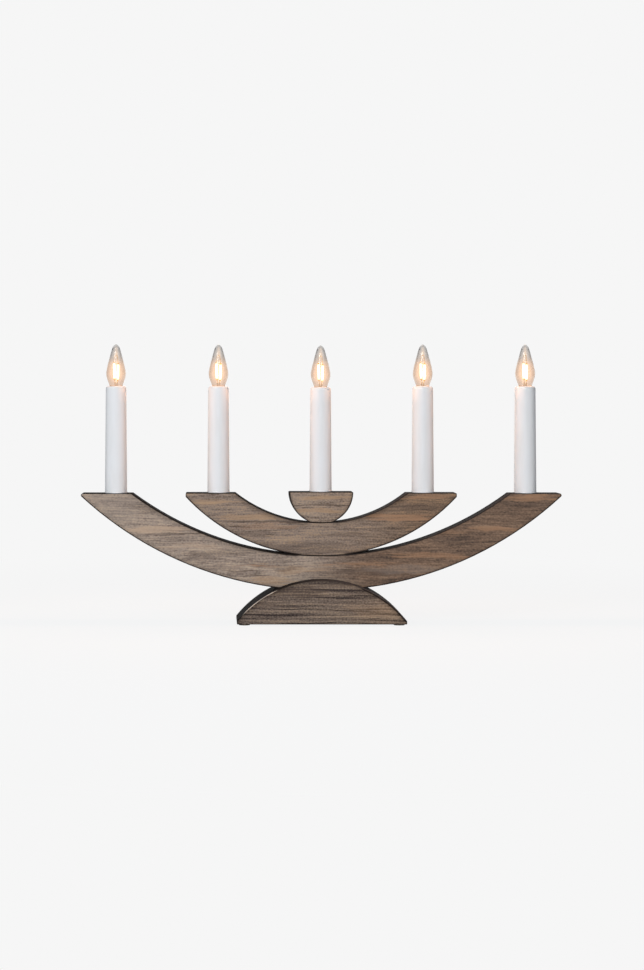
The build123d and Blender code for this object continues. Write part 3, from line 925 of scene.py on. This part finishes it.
@dataclass
class Boards:
    """The four stained boards, the base's felt pads and the hidden dowels.

    An arc is the height of its centre and its radius. The large crescent is beige-grey on its left and brown on
    its right, and the base is darker and ribbed, with a rubbed, lighter edge on its upper left that is partly
    wear and partly a painted highlight.
    """

    crescent_edge: str = "#37312f"
    base_edge: str = "#4b4340"
    large_top: Arc = (358.2, 294.8)
    large_bottom: Arc = (358.9, 328.1)
    large_end: float = 420.0
    small_top: Arc = (222.4, 128.4)
    small_bottom: Arc = (234.6, 171.7)
    small_seat: float = 21.0
    cup_bottom: Arc = (122.6, 29.8)
    cup_seat: float = 12.0
    base_top: Arc = (-58.6, 100.4)
    base_sanded: tuple[float, float] = (-120.0, 36.0)
    large: WoodFinish = WoodFinish(
        "large_crescent_wood",
        Shades("#9d8f84", "#6f635b", "#baa793"),
        Shades("#776355", "#4f443d", "#967d68"),
        crescent_edge,
        shift=0.0,
        rims=(
            Rim(*large_top, strength=0.35, line=0.95, line_reach=1.9, gap=(-small_seat, large_end)),
            Rim(*large_top, strength=0.1, reach=4.0, line_reach=1.3, gap=(-large_end, small_seat)),
            Rim(*large_bottom, strength=0.25, reach=4.0),
        ),
        stains=(
            Stain(-191.6, 106.3, 26.7, 15.7, Tone.GREY, 0.5),
            Stain(-157.0, 109.0, 18.0, 9.0, Tone.DARK, 0.4),
            Stain(-150.7, 88.2, 36.0, 4.6, Tone.PALE, 0.8),
            Stain(-143.0, 83.3, 36.0, 1.6, Tone.DARK, 0.75),
            Stain(-135.0, 78.5, 24.0, 4.0, Tone.DARK, 0.35),
            Stain(-118.7, 71.4, 34.0, 3.2, Tone.PALE, 0.6),
            Stain(-113.6, 60.8, 16.0, 7.0, Tone.DARK, 0.45),
            Stain(-88.0, 66.0, 26.0, 5.0, Tone.DARK, 0.4),
            Stain(-57.8, 55.2, 8.4, 3.1, Tone.ORANGE, 0.7),
            Stain(-70.8, 46.4, 9.5, 3.8, Tone.DARK, 0.7),
            Stain(-47.6, 41.2, 17.9, 5.6, Tone.TAN, 0.6),
            Stain(-24.2, 50.0, 24.8, 5.0, Tone.TAN, 0.5),
            Stain(-62.0, 57.0, 34.0, 3.0, Tone.DARK, 0.4),
            Stain(-36.0, 52.5, 30.0, 3.4, Tone.DARK, 0.4),
            Stain(-96.0, 52.0, 26.0, 4.0, Tone.DARK, 0.3),
            Stain(193.4, 117.4, 34.0, 4.0, Tone.ORANGE, 0.85),
            Stain(187.8, 111.4, 30.4, 1.8, Tone.DARK, 0.4),
            Stain(163.0, 88.2, 28.0, 3.0, Tone.ORANGE, 0.7),
            Stain(111.7, 84.1, 30.0, 3.1, Tone.ORANGE, 0.4),
            Stain(120.3, 77.3, 36.0, 3.4, Tone.DARK, 0.45),
            Stain(104.0, 63.5, 40.0, 4.0, Tone.ORANGE, 0.6),
            Stain(38.0, 55.5, 36.0, 1.9, Tone.ORANGE, 0.6),
            Stain(44.0, 48.0, 40.0, 4.6, Tone.DARK, 0.6),
            Stain(75.0, 50.3, 44.5, 4.6, Tone.GREY, 0.35),
            Stain(34.0, 62.0, 30.0, 4.0, Tone.DARK, 0.4),
        ),
    )
    small: WoodFinish = WoodFinish(
        "small_crescent_wood",
        Shades("#8d7e73", "#5a4e47", "#ad957c"),
        Shades("#7c6858", "#4b4039", "#a28467"),
        crescent_edge,
        shift=137.0,
        middle=50.0,
        reach=50.0,
        rims=(
            Rim(*small_top, gap=(-cup_seat, cup_seat)),
            Rim(*small_bottom, strength=0.25, reach=4.0, gap=(-small_seat, small_seat)),
        ),
        stains=(
            Stain(-100.1, 113.7, 25.1, 3.1, Tone.TAN, 0.7),
            Stain(-67.1, 99.8, 36.3, 3.1, Tone.TAN, 0.7),
            Stain(-49.5, 95.1, 42.7, 1.4, Tone.DARK, 0.8),
            Stain(-52.0, 91.0, 30.0, 4.0, Tone.ORANGE, 0.35),
            Stain(-20.0, 70.0, 60.0, 8.5, Tone.DARK, 0.5),
            Stain(-62.0, 84.0, 40.0, 3.0, Tone.DARK, 0.4),
            Stain(16.0, 82.0, 30.0, 2.0, Tone.DARK, 0.4),
            Stain(95.4, 117.9, 27.5, 3.0, Tone.ORANGE, 0.85),
            Stain(87.5, 108.1, 35.5, 4.6, Tone.DARK, 0.45),
            Stain(70.1, 99.1, 39.5, 4.7, Tone.ORANGE, 0.9),
            Stain(36.0, 87.2, 4.2, 1.5, Tone.DARK, 0.7),
        ),
    )
    cup: WoodFinish = WoodFinish(
        "centre_cup_wood",
        Shades("#95867a", "#60544c", "#b69e84"),
        Shades("#8f7c6d", "#5a4e46", "#b2987c"),
        crescent_edge,
        shift=263.0,
        reach=40.0,
        rims=(Rim(*cup_bottom, strength=0.35, reach=4.0, gap=(-cup_seat, cup_seat)),),
        stains=(
            Stain(1.6, 116.9, 29.9, 2.5, Tone.TAN, 0.7),
            Stain(1.6, 105.5, 29.9, 2.1, Tone.TAN, 0.7),
            Stain(1.6, 110.4, 29.9, 1.5, Tone.DARK, 0.7),
        ),
    )
    base: WoodFinish = WoodFinish(
        "base_wood",
        Shades("#766960", "#352e2d", "#a5917b"),
        Shades("#8a7767", "#463d38", "#b09a82"),
        base_edge,
        shift=389.0,
        middle=40.0,
        fine=3.0,
        lines=0.8,
        pores=0.4,
        ridge=1.2,
        front=-25.0,
        fine_grain=Grain((60, 6, 1.4), 1.5),
        line_grain=Grain((60, 8, 1.1), 1.5),
        rims=(
            Rim(*base_top, strength=0.5, reach=6.0, line=0.7, line_reach=1.1),
            Rim(*base_top, strength=0.2, reach=3.0, line=0.95, line_reach=2.2, gap=base_sanded),
        ),
        stains=(
            Stain(-22.0, 31.0, 34.0, 7.0, Tone.DARK, 0.8),
            Stain(-44.0, 19.0, 26.0, 4.0, Tone.DARK, 0.4),
            Stain(10.0, 38.0, 30.0, 3.0, Tone.DARK, 0.5),
            Stain(50.0, 14.0, 30.0, 7.0, Tone.TAN, 0.3),
        ),
        worn_and_lit=(Stain(-58.0, 22.0, 22.0, 22.0, Tone.WORN_AND_LIT, 0.95),),
    )

    def build(self) -> None:
        """Dresses the boards, the pads and the dowels."""
        dress(self.large, "large_crescent")
        dress(self.small, "small_crescent")
        dress(self.cup, "centre_cup")
        dress(self.base, "base_block")
        dress(FELT, "foot_pads")
        dress(DOWEL, "cup_dowels")


def bell(offset: float, reach: float) -> float:
    """One in the middle of a flat-topped bell, and near zero past its reach."""
    return math.exp(-((offset / reach) ** 4))


@dataclass
class Lamp:
    """One clear flame-shaped lamp: glass, stem, filaments, cap and end. Heights are above the mouth."""

    number: int
    thread: ThreadTree
    wall: float = 0.7
    tip: float = 1.0
    neck_share: float = 0.573
    neck_top: float = -2.4
    radius_shares: tuple[float, ...] = (0.655, 1.0, 0.9, 0.66, 0.43, 0.25)
    height_shares: tuple[float, ...] = (0.0, 0.31, 0.46, 0.68, 0.87, 0.965)
    glass_steps: int = 7
    glass_sides: int = 72
    glass_sharp: float = 60.0
    flutes: int = 9
    flute_share: float = 0.012
    thread_radius: float = 4.75
    thread_ridge: float = 0.42
    thread_start: float = 0.8
    thread_margin: float = 0.9
    pitch: float = 1.814
    cap_wall: float = 0.35
    cap_bevel: tuple[float, float] = (0.1, 0.3)
    cap_sides: int = 56
    collar_height: float = 2.6
    bead: tuple[float, float] = (0.6, 0.2)
    shoulder: tuple[float, float, float] = (0.2, 0.25, 0.6)
    button: tuple[tuple[float, float], ...] = ((0.0, 0.0), (0.9, 0.02), (1.45, 0.2), (1.72, 0.8), (0.0, 0.82))
    button_sides: int = 32
    stick_radius: float = 0.95
    stick_sides: int = 14
    stick_steps: int = 8
    stick_low: float = 6.5
    stick_length: float = 14.5
    stick_spread: float = 1.5
    stick_lean: float = 1.6
    stick_stagger: float = 0.5
    quarters: tuple[float, ...] = (8.0, -6.0, 0.0, 20.0, 34.0)
    clip_reach: float = 0.9
    clip_overlap_share: float = 0.2
    clip_share: float = 0.8
    feed: tuple[tuple[float, float], ...] = ((0.8, 1.0), (0.9, 3.4))
    wire_radius: float = 0.2
    wire_hold: float = 0.8
    loop_rise: float = 7.0
    loop_share: float = 0.32
    wide_share: float = 0.83
    hot_share: float = 0.62
    strand_place_share: float = 0.85
    strand_share: float = 0.2
    across: float = field(init=False)
    mouth: float = field(init=False)
    body: str = field(init=False)
    place: Vector = field(init=False)

    def __post_init__(self) -> None:
        """Reads the lamp's place from the frame."""
        low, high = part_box(f"candle_sleeve_{self.number}")
        self.across = (low.x + high.x) / 2
        self.mouth = high.z
        self.body = f"bulb_{self.number}"
        self.place = Vector((self.across, 0, self.mouth))

    def extent(self, kind: str) -> tuple[float, float, float]:
        """Measures a round node, named without its number: its radius and the heights of its foot and top."""
        low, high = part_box(f"{kind}_{self.number}")
        return ((high.x - low.x) / 2 / MM, (low.z - self.mouth) / MM, (high.z - self.mouth) / MM)

    def outline(self, radius: float, height: float, inner: bool) -> Outline:
        """Draws the glass from its neck to its tip.

        Args:
            radius: the lamp's largest radius.
            height: the height of its tip.
            inner: whether this is the inner wall, which ends under the thick tip.

        Returns:
            Radius and height of the outline's points.
        """
        wall, tip, last = (self.wall, self.tip, -1) if inner else (0.0, 0.0, None)
        shares = zip(self.radius_shares[:last], self.height_shares[:last])
        points = [(self.neck_share * radius - wall, self.neck_top)]
        points += [((radius - wall) * r, height * z) for r, z in shares]
        return eased([*points, (0.0, height - tip)], (0, 1), (-1, 0), self.glass_steps)

    def glass(self) -> None:
        """Builds the hollow glass with its thick tip and notes where its painted glow and painted reflection
        go.
        """
        radius, foot, height = self.extent("bulb_glass")
        neck = self.neck_share * radius
        outside = self.outline(radius, height, inner=False)
        inside = self.outline(radius, height, inner=True)
        shell = Solid(f"lamp_glass_{self.number}")
        profile = [(neck, foot), *outside, *inside[::-1], (neck - self.wall, foot)]
        shell.turned(profile, self.glass_sides, self.flutes, self.flute_share)
        mesh = shell.mesh(self.place, GLASS, self.glass_sharp)
        glow = mesh.attributes.new("glow", "FLOAT_VECTOR", "POINT")
        shares = [self.glow_at((vertex.co.z - self.mouth) / MM, height) for vertex in mesh.vertices]
        glow.data.foreach_set("vector", [share for spot in shares for share in spot])
        piece = named_piece(shell.name, mesh, self.body, f"bulb_glass_{self.number}")
        piece.visible_shadow = False

    def glow_at(self, height: float, top: float) -> tuple[float, float, float]:
        """How much the glass glows at a height.

        Args:
            height: the height.
            top: the height of the glass's tip.

        Returns:
            The share of its wide painted glow, of the painted hot glow by the filaments and of the bright
            streak in the tip, which is a painted reflection.
        """
        above = height - self.stick_low - self.stick_length / 2
        wide = bell(max(above, 0.0), self.wide_share * self.stick_length)
        hot = bell(above, self.hot_share * self.stick_length)
        return (wide, hot, bell(height - self.strand_place_share * top, self.strand_share * top))

    def cap(self) -> None:
        """Builds the metal cap: a flared collar round the glass and a rolled thread."""
        collar, foot, top = self.extent("bulb_cap")
        root = self.thread_radius - self.thread_ridge
        step = top - self.collar_height
        inner = collar - self.cap_wall
        lip, lip_height = self.cap_bevel
        bead_low, bead_high = self.bead
        round_in, low, high = self.shoulder
        profile = [
            (root - self.cap_wall, foot),
            (root - lip, foot),
            (root, foot + lip_height),
            (root, step - bead_low),
            (self.thread_radius, step - bead_high),
            (collar - round_in, step + low),
            (collar, step + high),
            (collar, top),
            (inner, top),
            (inner, step + high + lip),
            (root - self.cap_wall, step),
        ]
        shell = Solid(f"lamp_cap_{self.number}")
        shell.turned(profile, self.cap_sides)
        mesh = shell.mesh(self.place, CAP)
        turns = (step - foot - 2 * self.thread_margin) / self.pitch
        ridge = Ridge(root, self.thread_ridge, self.pitch, turns)
        low = self.mouth + (foot + self.thread_start) * MM
        made = self.thread.rolled(shell.name, mesh, CAP, ridge, self.across, low)
        named_piece(shell.name, made, self.body, f"bulb_cap_{self.number}")

    def end(self) -> None:
        """Builds the soldered contact under the dark glass insulator."""
        dress(INSULATOR, f"bulb_end_{self.number}")
        _, foot, _ = self.extent("bulb_end")
        button = Solid(f"lamp_button_{self.number}")
        button.turned([(radius, foot + rise) for radius, rise in self.button], self.button_sides)
        mesh = button.mesh(self.place, BRASS)
        named_piece(button.name, mesh, f"bulb_{self.number}_tip")

    def filaments(self) -> None:
        """Builds the two glowing sticks, and the wires and clips that hold them."""
        sticks = Solid(f"lamp_filaments_{self.number}")
        wires = Solid(f"lamp_wires_{self.number}")
        lean = math.radians(self.stick_lean)
        facing = Matrix.Rotation(math.radians(self.quarters[self.number - 1]), 3, "Z")
        heads = []
        for side in (-1, 1):
            way = facing @ Vector((side * math.sin(lean), 0, math.cos(lean)))
            low = self.stick_low - side * self.stick_stagger
            foot = facing @ Vector((side * self.stick_spread, 0, low))
            lengths = [self.stick_length * step / self.stick_steps for step in range(self.stick_steps + 1)]
            path = [foot + way * length for length in lengths]
            sticks.tube(path, self.stick_radius, self.stick_sides)
            for spot, out in ((path[0], way * -self.clip_reach), (path[-1], way * self.clip_reach)):
                ends = [spot - out * self.clip_overlap_share, spot + out]
                wires.tube(ends, self.stick_radius * self.clip_share)
            rise = [facing @ Vector((side * x, 0, z)) for x, z in self.feed]
            wires.tube([*rise, foot - way * self.wire_hold], self.wire_radius)
            heads.append(path[-1] + way * self.wire_hold)
        wires.tube(self.loop(*heads), self.wire_radius)
        mesh = sticks.mesh(self.place, FILAMENT)
        warmth = [1 - abs(2 * step / self.stick_steps - 1) ** 4 for step in range(self.stick_steps + 1)]
        values = [warm for warm in warmth for _ in range(self.stick_sides)]
        mesh.attributes.new("warmth", "FLOAT", "POINT").data.foreach_set("value", values * 2)
        node = f"bulb_filaments_{self.number}"
        named_piece(sticks.name, mesh, self.body, node)
        named_piece(wires.name, wires.mesh(self.place, BRASS), self.body, node)

    def loop(self, first: Vector, last: Vector) -> list[Vector]:
        """The path of the wire that joins the sticks' heads in a tall loop.

        Args:
            first: the head of one stick.
            last: the head of the other.

        Returns:
            The points of its middle line.
        """
        middle = (first + last) / 2 + Vector((0, 0, self.loop_rise))
        across = Vector((last.x - first.x, last.y - first.y, 0)) * self.loop_share
        turns = [math.pi * (1 - step / self.stick_steps) for step in range(self.stick_steps + 1)]
        falls = [Vector((0, 0, (math.sin(turn) - 1) * across.length)) for turn in turns]
        bow = [middle + across * math.cos(turn) + fall for turn, fall in zip(turns, falls)]
        return [first, *bow, last]

    def build(self) -> None:
        """Builds the lamp."""
        self.glass()
        self.cap()
        self.end()
        self.filaments()
        dress(GLASS, f"bulb_stem_{self.number}")
        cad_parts[f"bulb_stem_{self.number}"].visible_shadow = False


@dataclass
class Candle:
    """One candle: sleeve, spigot, holder, thread shell and lamp."""

    number: int
    thread: ThreadTree
    shell_ridge: float = 0.3
    shell_wall: float = 0.35
    shell_bevel: float = 0.15
    shell_margin: float = 1.2
    shell_sides: int = 56
    thread_fit: float = 0.08

    def shell(self, lamp: Lamp) -> None:
        """Builds the screw shell, its ridge between those of the lamp's cap.

        Args:
            lamp: the lamp that screws in it.
        """
        flange, foot, top = lamp.extent("holder_shell")
        bore = lamp.thread_radius + self.thread_fit
        outside = bore + self.shell_wall
        profile = [
            (bore, foot),
            (bore, top - self.shell_bevel),
            (bore + self.shell_bevel, top),
            (flange, top),
            (flange, top - self.shell_wall),
            (outside, top - self.shell_wall),
            (outside, foot),
        ]
        shell = Solid(f"thread_shell_{self.number}")
        shell.turned(profile, self.shell_sides)
        mesh = shell.mesh(lamp.place, BRASS)
        _, cap_foot, _ = lamp.extent("bulb_cap")
        first = cap_foot + lamp.thread_start + lamp.pitch / 2
        turns = (top - self.shell_margin - first) / lamp.pitch
        ridge = Ridge(bore, self.shell_ridge, lamp.pitch, turns)
        low = lamp.mouth + first * MM
        made = self.thread.rolled(shell.name, mesh, BRASS, ridge, lamp.across, low)
        named_piece(shell.name, made, ARCH, f"holder_shell_{self.number}")

    def build(self) -> Lamp:
        """Builds the candle.

        Returns:
            Its lamp.
        """
        dress(SLEEVE, f"candle_sleeve_{self.number}")
        dress(HOLDER, f"sleeve_spigot_{self.number}", f"lamp_holder_{self.number}")
        lamp = Lamp(self.number, self.thread)
        lamp.build()
        self.shell(lamp)
        return lamp


@dataclass
class Wiring:
    """The leads behind the boards, the contacts and the staples across the grooves."""

    lead_offset: float = 1.5
    crown: float = 2.9
    corner: float = 0.6
    wire: float = 0.35
    wire_sides: int = 6
    leg: float = 5.0
    spacing: float = 30.0
    run_depth: float = 2.77
    run_margin: float = 20.0
    first_place: float = 16.0
    last_margin: float = 18.0

    def round_run(self, node: str) -> tuple[float, float, float]:
        """Finds the circle that a lead follows behind a crescent.

        Args:
            node: the lead's node.

        Returns:
            The height of the circle's centre, its radius and the run's largest reach, in metres.
        """
        spots = np.array([vertex.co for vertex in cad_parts[node].data.vertices], float)
        near = np.abs(spots[:, 0])
        margin = self.run_margin * MM
        plane = spots[:, 1] > spots[:, 1].max() - self.run_depth * MM
        run = spots[plane & (near > margin) & (near < near.max() - margin)]
        x, z = run[:, 0], run[:, 2]
        table = np.stack([2 * z, np.ones_like(z)], 1)
        centre, rest = np.linalg.lstsq(table, x * x + z * z, rcond=None)[0]
        return float(centre), float(math.sqrt(rest + centre * centre)), float(near[plane].max())

    def staple(self) -> Mesh:
        """Bends one staple: its crown lies across the leads and its legs stand in the groove's floor.

        Returns:
            Its mesh.
        """
        half, leg, corner = self.crown, self.leg, self.corner
        left = [(-half, leg), (-half, corner), (-half + corner, 0)]
        path = left + [(-x, z) for x, z in left[::-1]]
        wire = Solid("staple")
        wire.tube([Vector((x, 0, z)) for x, z in path], self.wire, self.wire_sides)
        return wire.mesh(Vector((0, 0, 0)), STEEL)

    def staples(self) -> None:
        """Puts a row of staples over each half of both grooves."""
        tree = StapleTree()
        staple = self.staple()
        _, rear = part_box("supply_leads")
        for node, label, offset in (("supply_leads", "outer", -1), ("cup_leads", "inner", 1)):
            centre, radius, reach = self.round_run(node)
            radius += offset * self.lead_offset * MM
            first = math.asin(self.first_place * MM / radius)
            sweep = math.asin((reach - self.last_margin * MM) / radius) - first
            for side in Side:
                values = {
                    "Radius": radius,
                    "Centre": centre,
                    "Start": side.value * first - math.pi / 2,
                    "Sweep": side.value * sweep,
                    "Plane": rear.y + self.wire * MM,
                    "Count": max(2, round(sweep * radius / MM / self.spacing)),
                }
                name = f"lead_staples_{label}_{side.name.lower()}"
                named_piece(name, tree.grown(name, staple, STEEL, values), ARCH)

    def build(self) -> None:
        """Dresses the leads and the contacts, and builds the staples."""
        dress(SHEATH, "supply_leads", "link_leads", "cup_leads")
        dress(BRASS, "contact_leaves")
        self.staples()


@dataclass
class WoodScrews:
    """The threads of the wood screws that hold the boards together."""

    thread: ThreadTree
    root: float = 2.0
    ridge: float = 0.3
    pitch: float = 2.2
    plain: float = 14.0
    tip: float = 6.0
    head_radius: float = 4.0

    def build(self) -> None:
        """Dresses the screws and rolls a thread on each."""
        for node in ("base_screws", "crescent_screws"):
            dress(STEEL, node)
            low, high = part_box(node)
            long = (high.z - low.z) / MM - self.plain - self.tip
            ridge = Ridge(self.root, self.ridge, self.pitch, long / self.pitch)
            for side in Side:
                name = f"{node}_thread_{side.name.lower()}"
                across = side.value * (high.x - self.head_radius * MM)
                blank = bpy.data.meshes.new(name)
                made = self.thread.rolled(name, blank, STEEL, ridge, across, low.z + self.plain * MM)
                named_piece(name, made, ARCH)


@dataclass(frozen=True)
class Card:
    """A dark card beside the object, which only shows in its gloss. Sizes in metres."""

    name: str
    place: Size
    width: float
    height: float
    tone: str


@dataclass(frozen=True)
class SoftLight:
    """A soft light that points at the object. Sizes in metres, power in watts."""

    name: str
    place: Size
    width: float
    height: float
    power: float


def sheet(name: str, half: float, tall: float, turn: Matrix) -> bpy.types.Object:
    """Stages a flat sheet, such as the floor or a card.

    Args:
        name: its name.
        half: half its width.
        tall: half its height.
        turn: how it is turned and placed; unturned, it lies flat and faces up.

    Returns:
        The sheet.
    """
    mesh = bpy.data.meshes.new(name)
    corners = [(-half, -tall, 0), (half, -tall, 0), (half, tall, 0), (-half, tall, 0)]
    mesh.from_pydata(corners, [], [(0, 1, 2, 3)])
    mesh.transform(turn)
    made = linked(name, mesh)
    return made


@dataclass
class Studio:
    """The pale floor and backdrop, the soft lights, the lamps' own light and the camera. Sizes in metres."""

    pale: str = "#f6f6f6"
    floor: str = "#ccd5dc"
    floor_half: float = 4.0
    paper_level: float = 0.5
    shade: float = 0.14
    shade_near: float = 0.25
    shade_far: float = 0.8
    ambient: float = 0.32
    lamp_power: float = 2.6
    lamp_tone: Size = (1.0, 0.52, 0.3)
    lamp_rise: float = 0.0135
    lamp_radius: float = 0.004
    lamp_smooth: float = 0.0003
    middle: Size = (0.0, 0.0, 0.13)
    lens: float = 72.0
    sensor: float = 36.0
    lens_shift: tuple[float, float] = (0.1134, -0.0866)
    lens_reach: tuple[float, float] = (0.05, 50.0)
    camera_place: Size = (-0.1015, -1.813, 0.20705)
    cards: tuple[Card, ...] = (
        Card("card_left", (-1.2, 0.9, 0.3), 1.6, 2.4, "#8c8c8c"),
        Card("card_right", (1.2, 0.5, 0.3), 1.8, 2.4, "#585858"),
    )
    lights: tuple[SoftLight, ...] = (
        SoftLight("key", (-0.95, -2.0, 1.1), 1.2, 1.2, 32.0),
        SoftLight("fill", (1.2, -2.2, 0.8), 1.4, 1.4, 3.2),
        SoftLight("strip", (-0.14, -2.3, 0.25), 0.05, 1.2, 4.0),
    )

    def seen(self, g: Graph) -> Socket:
        """A number that is one for what the camera, gloss and glass see.

        Args:
            g: the graph that it is for.

        Returns:
            Its socket.
        """
        path = g.node("ShaderNodeLightPath").outputs
        first = g.calc("MAXIMUM", path["Is Camera Ray"], path["Is Glossy Ray"])
        return g.calc("MAXIMUM", first, path["Is Transmission Ray"])

    def world(self) -> None:
        """Makes the world: pale where it is seen, and a weaker soft light on the object."""
        world = bpy.data.worlds.new("studio")
        bpy.context.scene.world = world
        world.use_nodes = True
        g = Graph(world.node_tree)
        soft = g.out("ShaderNodeBackground", {0: (1, 1, 1, 1), 1: self.ambient})
        shown = g.out("ShaderNodeBackground", {0: self.pale, 1: 1.0})
        both = g.out("ShaderNodeMixShader", {0: self.seen(g), 1: soft, 2: shown})
        g.node("ShaderNodeOutputWorld", {0: both})

    def floor_plane(self) -> None:
        """Makes the floor, pale like the world, with the object's faint shadow and clear from below.

        Near the object a share of real paper takes the shadow, and what it lacks in light is made up.
        """
        g = Surface("floor_paper")
        away = g.length(g.place["Object"])
        shade = g.ramp(away, self.shade_near, self.shade_far, self.shade, 0.0)
        share = g.calc("MULTIPLY", self.seen(g), g.calc("SUBTRACT", 1.0, shade))
        paper = g.out("ShaderNodeBsdfDiffuse", {0: self.floor})
        lost = g.calc("MULTIPLY", shade, self.paper_level / colour(self.pale)[0])
        strength = g.calc("DIVIDE", g.calc("SUBTRACT", 1.0, lost), g.calc("SUBTRACT", 1.0, shade))
        shown = g.out("ShaderNodeEmission", {0: self.pale, 1: strength})
        both = g.out("ShaderNodeMixShader", {0: share, 1: paper, 2: shown})
        back = g.node("ShaderNodeNewGeometry").outputs["Backfacing"]
        clear = g.out("ShaderNodeBsdfTransparent")
        material = g.ended(g.out("ShaderNodeMixShader", {0: back, 1: both, 2: clear}))
        floor = sheet("floor", self.floor_half, self.floor_half, Matrix.Identity(4))
        floor.data.materials.append(material)

    def stand(self, card: Card) -> None:
        """Stands a dark card beside the object.

        Args:
            card: the card.
        """
        place = Vector(card.place)
        turn = (Vector(self.middle) - place).to_track_quat("Y", "Z").to_matrix().to_4x4()
        upright = Matrix.Rotation(math.pi / 2, 4, "X")
        made = sheet(card.name, card.width / 2, card.height / 2, Matrix.Translation(place) @ turn @ upright)
        g = Surface(card.name)
        made.data.materials.append(g.ended(g.out("ShaderNodeEmission", {0: card.tone, 1: 1.0})))
        made.visible_camera = made.visible_diffuse = made.visible_transmission = made.visible_shadow = False

    def hang(self, soft: SoftLight) -> None:
        """Hangs a soft light that points at the object.

        Args:
            soft: the light.
        """
        light = bpy.data.lights.new(soft.name, "AREA")
        light.shape = "RECTANGLE"
        light.size, light.size_y = soft.width, soft.height
        light.energy = soft.power
        made = linked(soft.name, light)
        made.location = soft.place
        way = Vector(self.middle) - Vector(soft.place)
        made.rotation_euler = way.to_track_quat("-Z", "Y").to_euler()
        made.visible_camera = made.visible_transmission = False

    def lit(self, lamp: Lamp) -> None:
        """Puts a lamp's warm light at its filaments.

        Args:
            lamp: the lamp.
        """
        light = bpy.data.lights.new(f"glow_{lamp.number}", "POINT")
        light.energy = self.lamp_power
        light.color = self.lamp_tone
        light.shadow_soft_size = self.lamp_radius
        light.use_nodes = True
        g = Graph(light.node_tree)
        inputs = {"Strength": 1.0, "Smooth": self.lamp_smooth}
        fall = g.node("ShaderNodeLightFalloff", inputs).outputs["Linear"]
        g.node("ShaderNodeOutputLight", {0: g.out("ShaderNodeEmission", {1: fall})})
        source = linked(light.name, light)
        source.location = lamp.place + Vector((0, 0, self.lamp_rise))
        source.visible_camera = source.visible_glossy = source.visible_transmission = False
        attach(source, lamp.body)

    def camera(self) -> None:
        """Sets the camera where the photograph was taken from."""
        lens = bpy.data.cameras.new("camera")
        lens.lens = self.lens
        lens.sensor_width = self.sensor
        lens.shift_x, lens.shift_y = self.lens_shift
        lens.clip_start, lens.clip_end = self.lens_reach
        camera = linked("camera", lens)
        camera.location = self.camera_place
        camera.rotation_euler = (math.pi / 2, 0, 0)
        bpy.context.scene.camera = camera

    def build(self, lamps: list[Lamp]) -> None:
        """Sets the stage, the lights and the camera.

        Args:
            lamps: the lamps that are lit.
        """
        self.world()
        self.floor_plane()
        for card in self.cards:
            self.stand(card)
        for soft in self.lights:
            self.hang(soft)
        for lamp in lamps:
            self.lit(lamp)
        self.camera()
        bpy.context.scene.view_settings.view_transform = "Standard"


def main() -> None:
    """Builds the arch, its pieces and its studio in order."""
    logging.basicConfig(level=logging.INFO, format="%(message)s")
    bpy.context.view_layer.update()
    thread = ThreadTree()
    Boards().build()
    lamps = [Candle(number, thread).build() for number in range(1, 6)]
    Wiring().build()
    WoodScrews(thread).build()
    Studio().build(lamps)


if __name__ == "__main__":
    main()
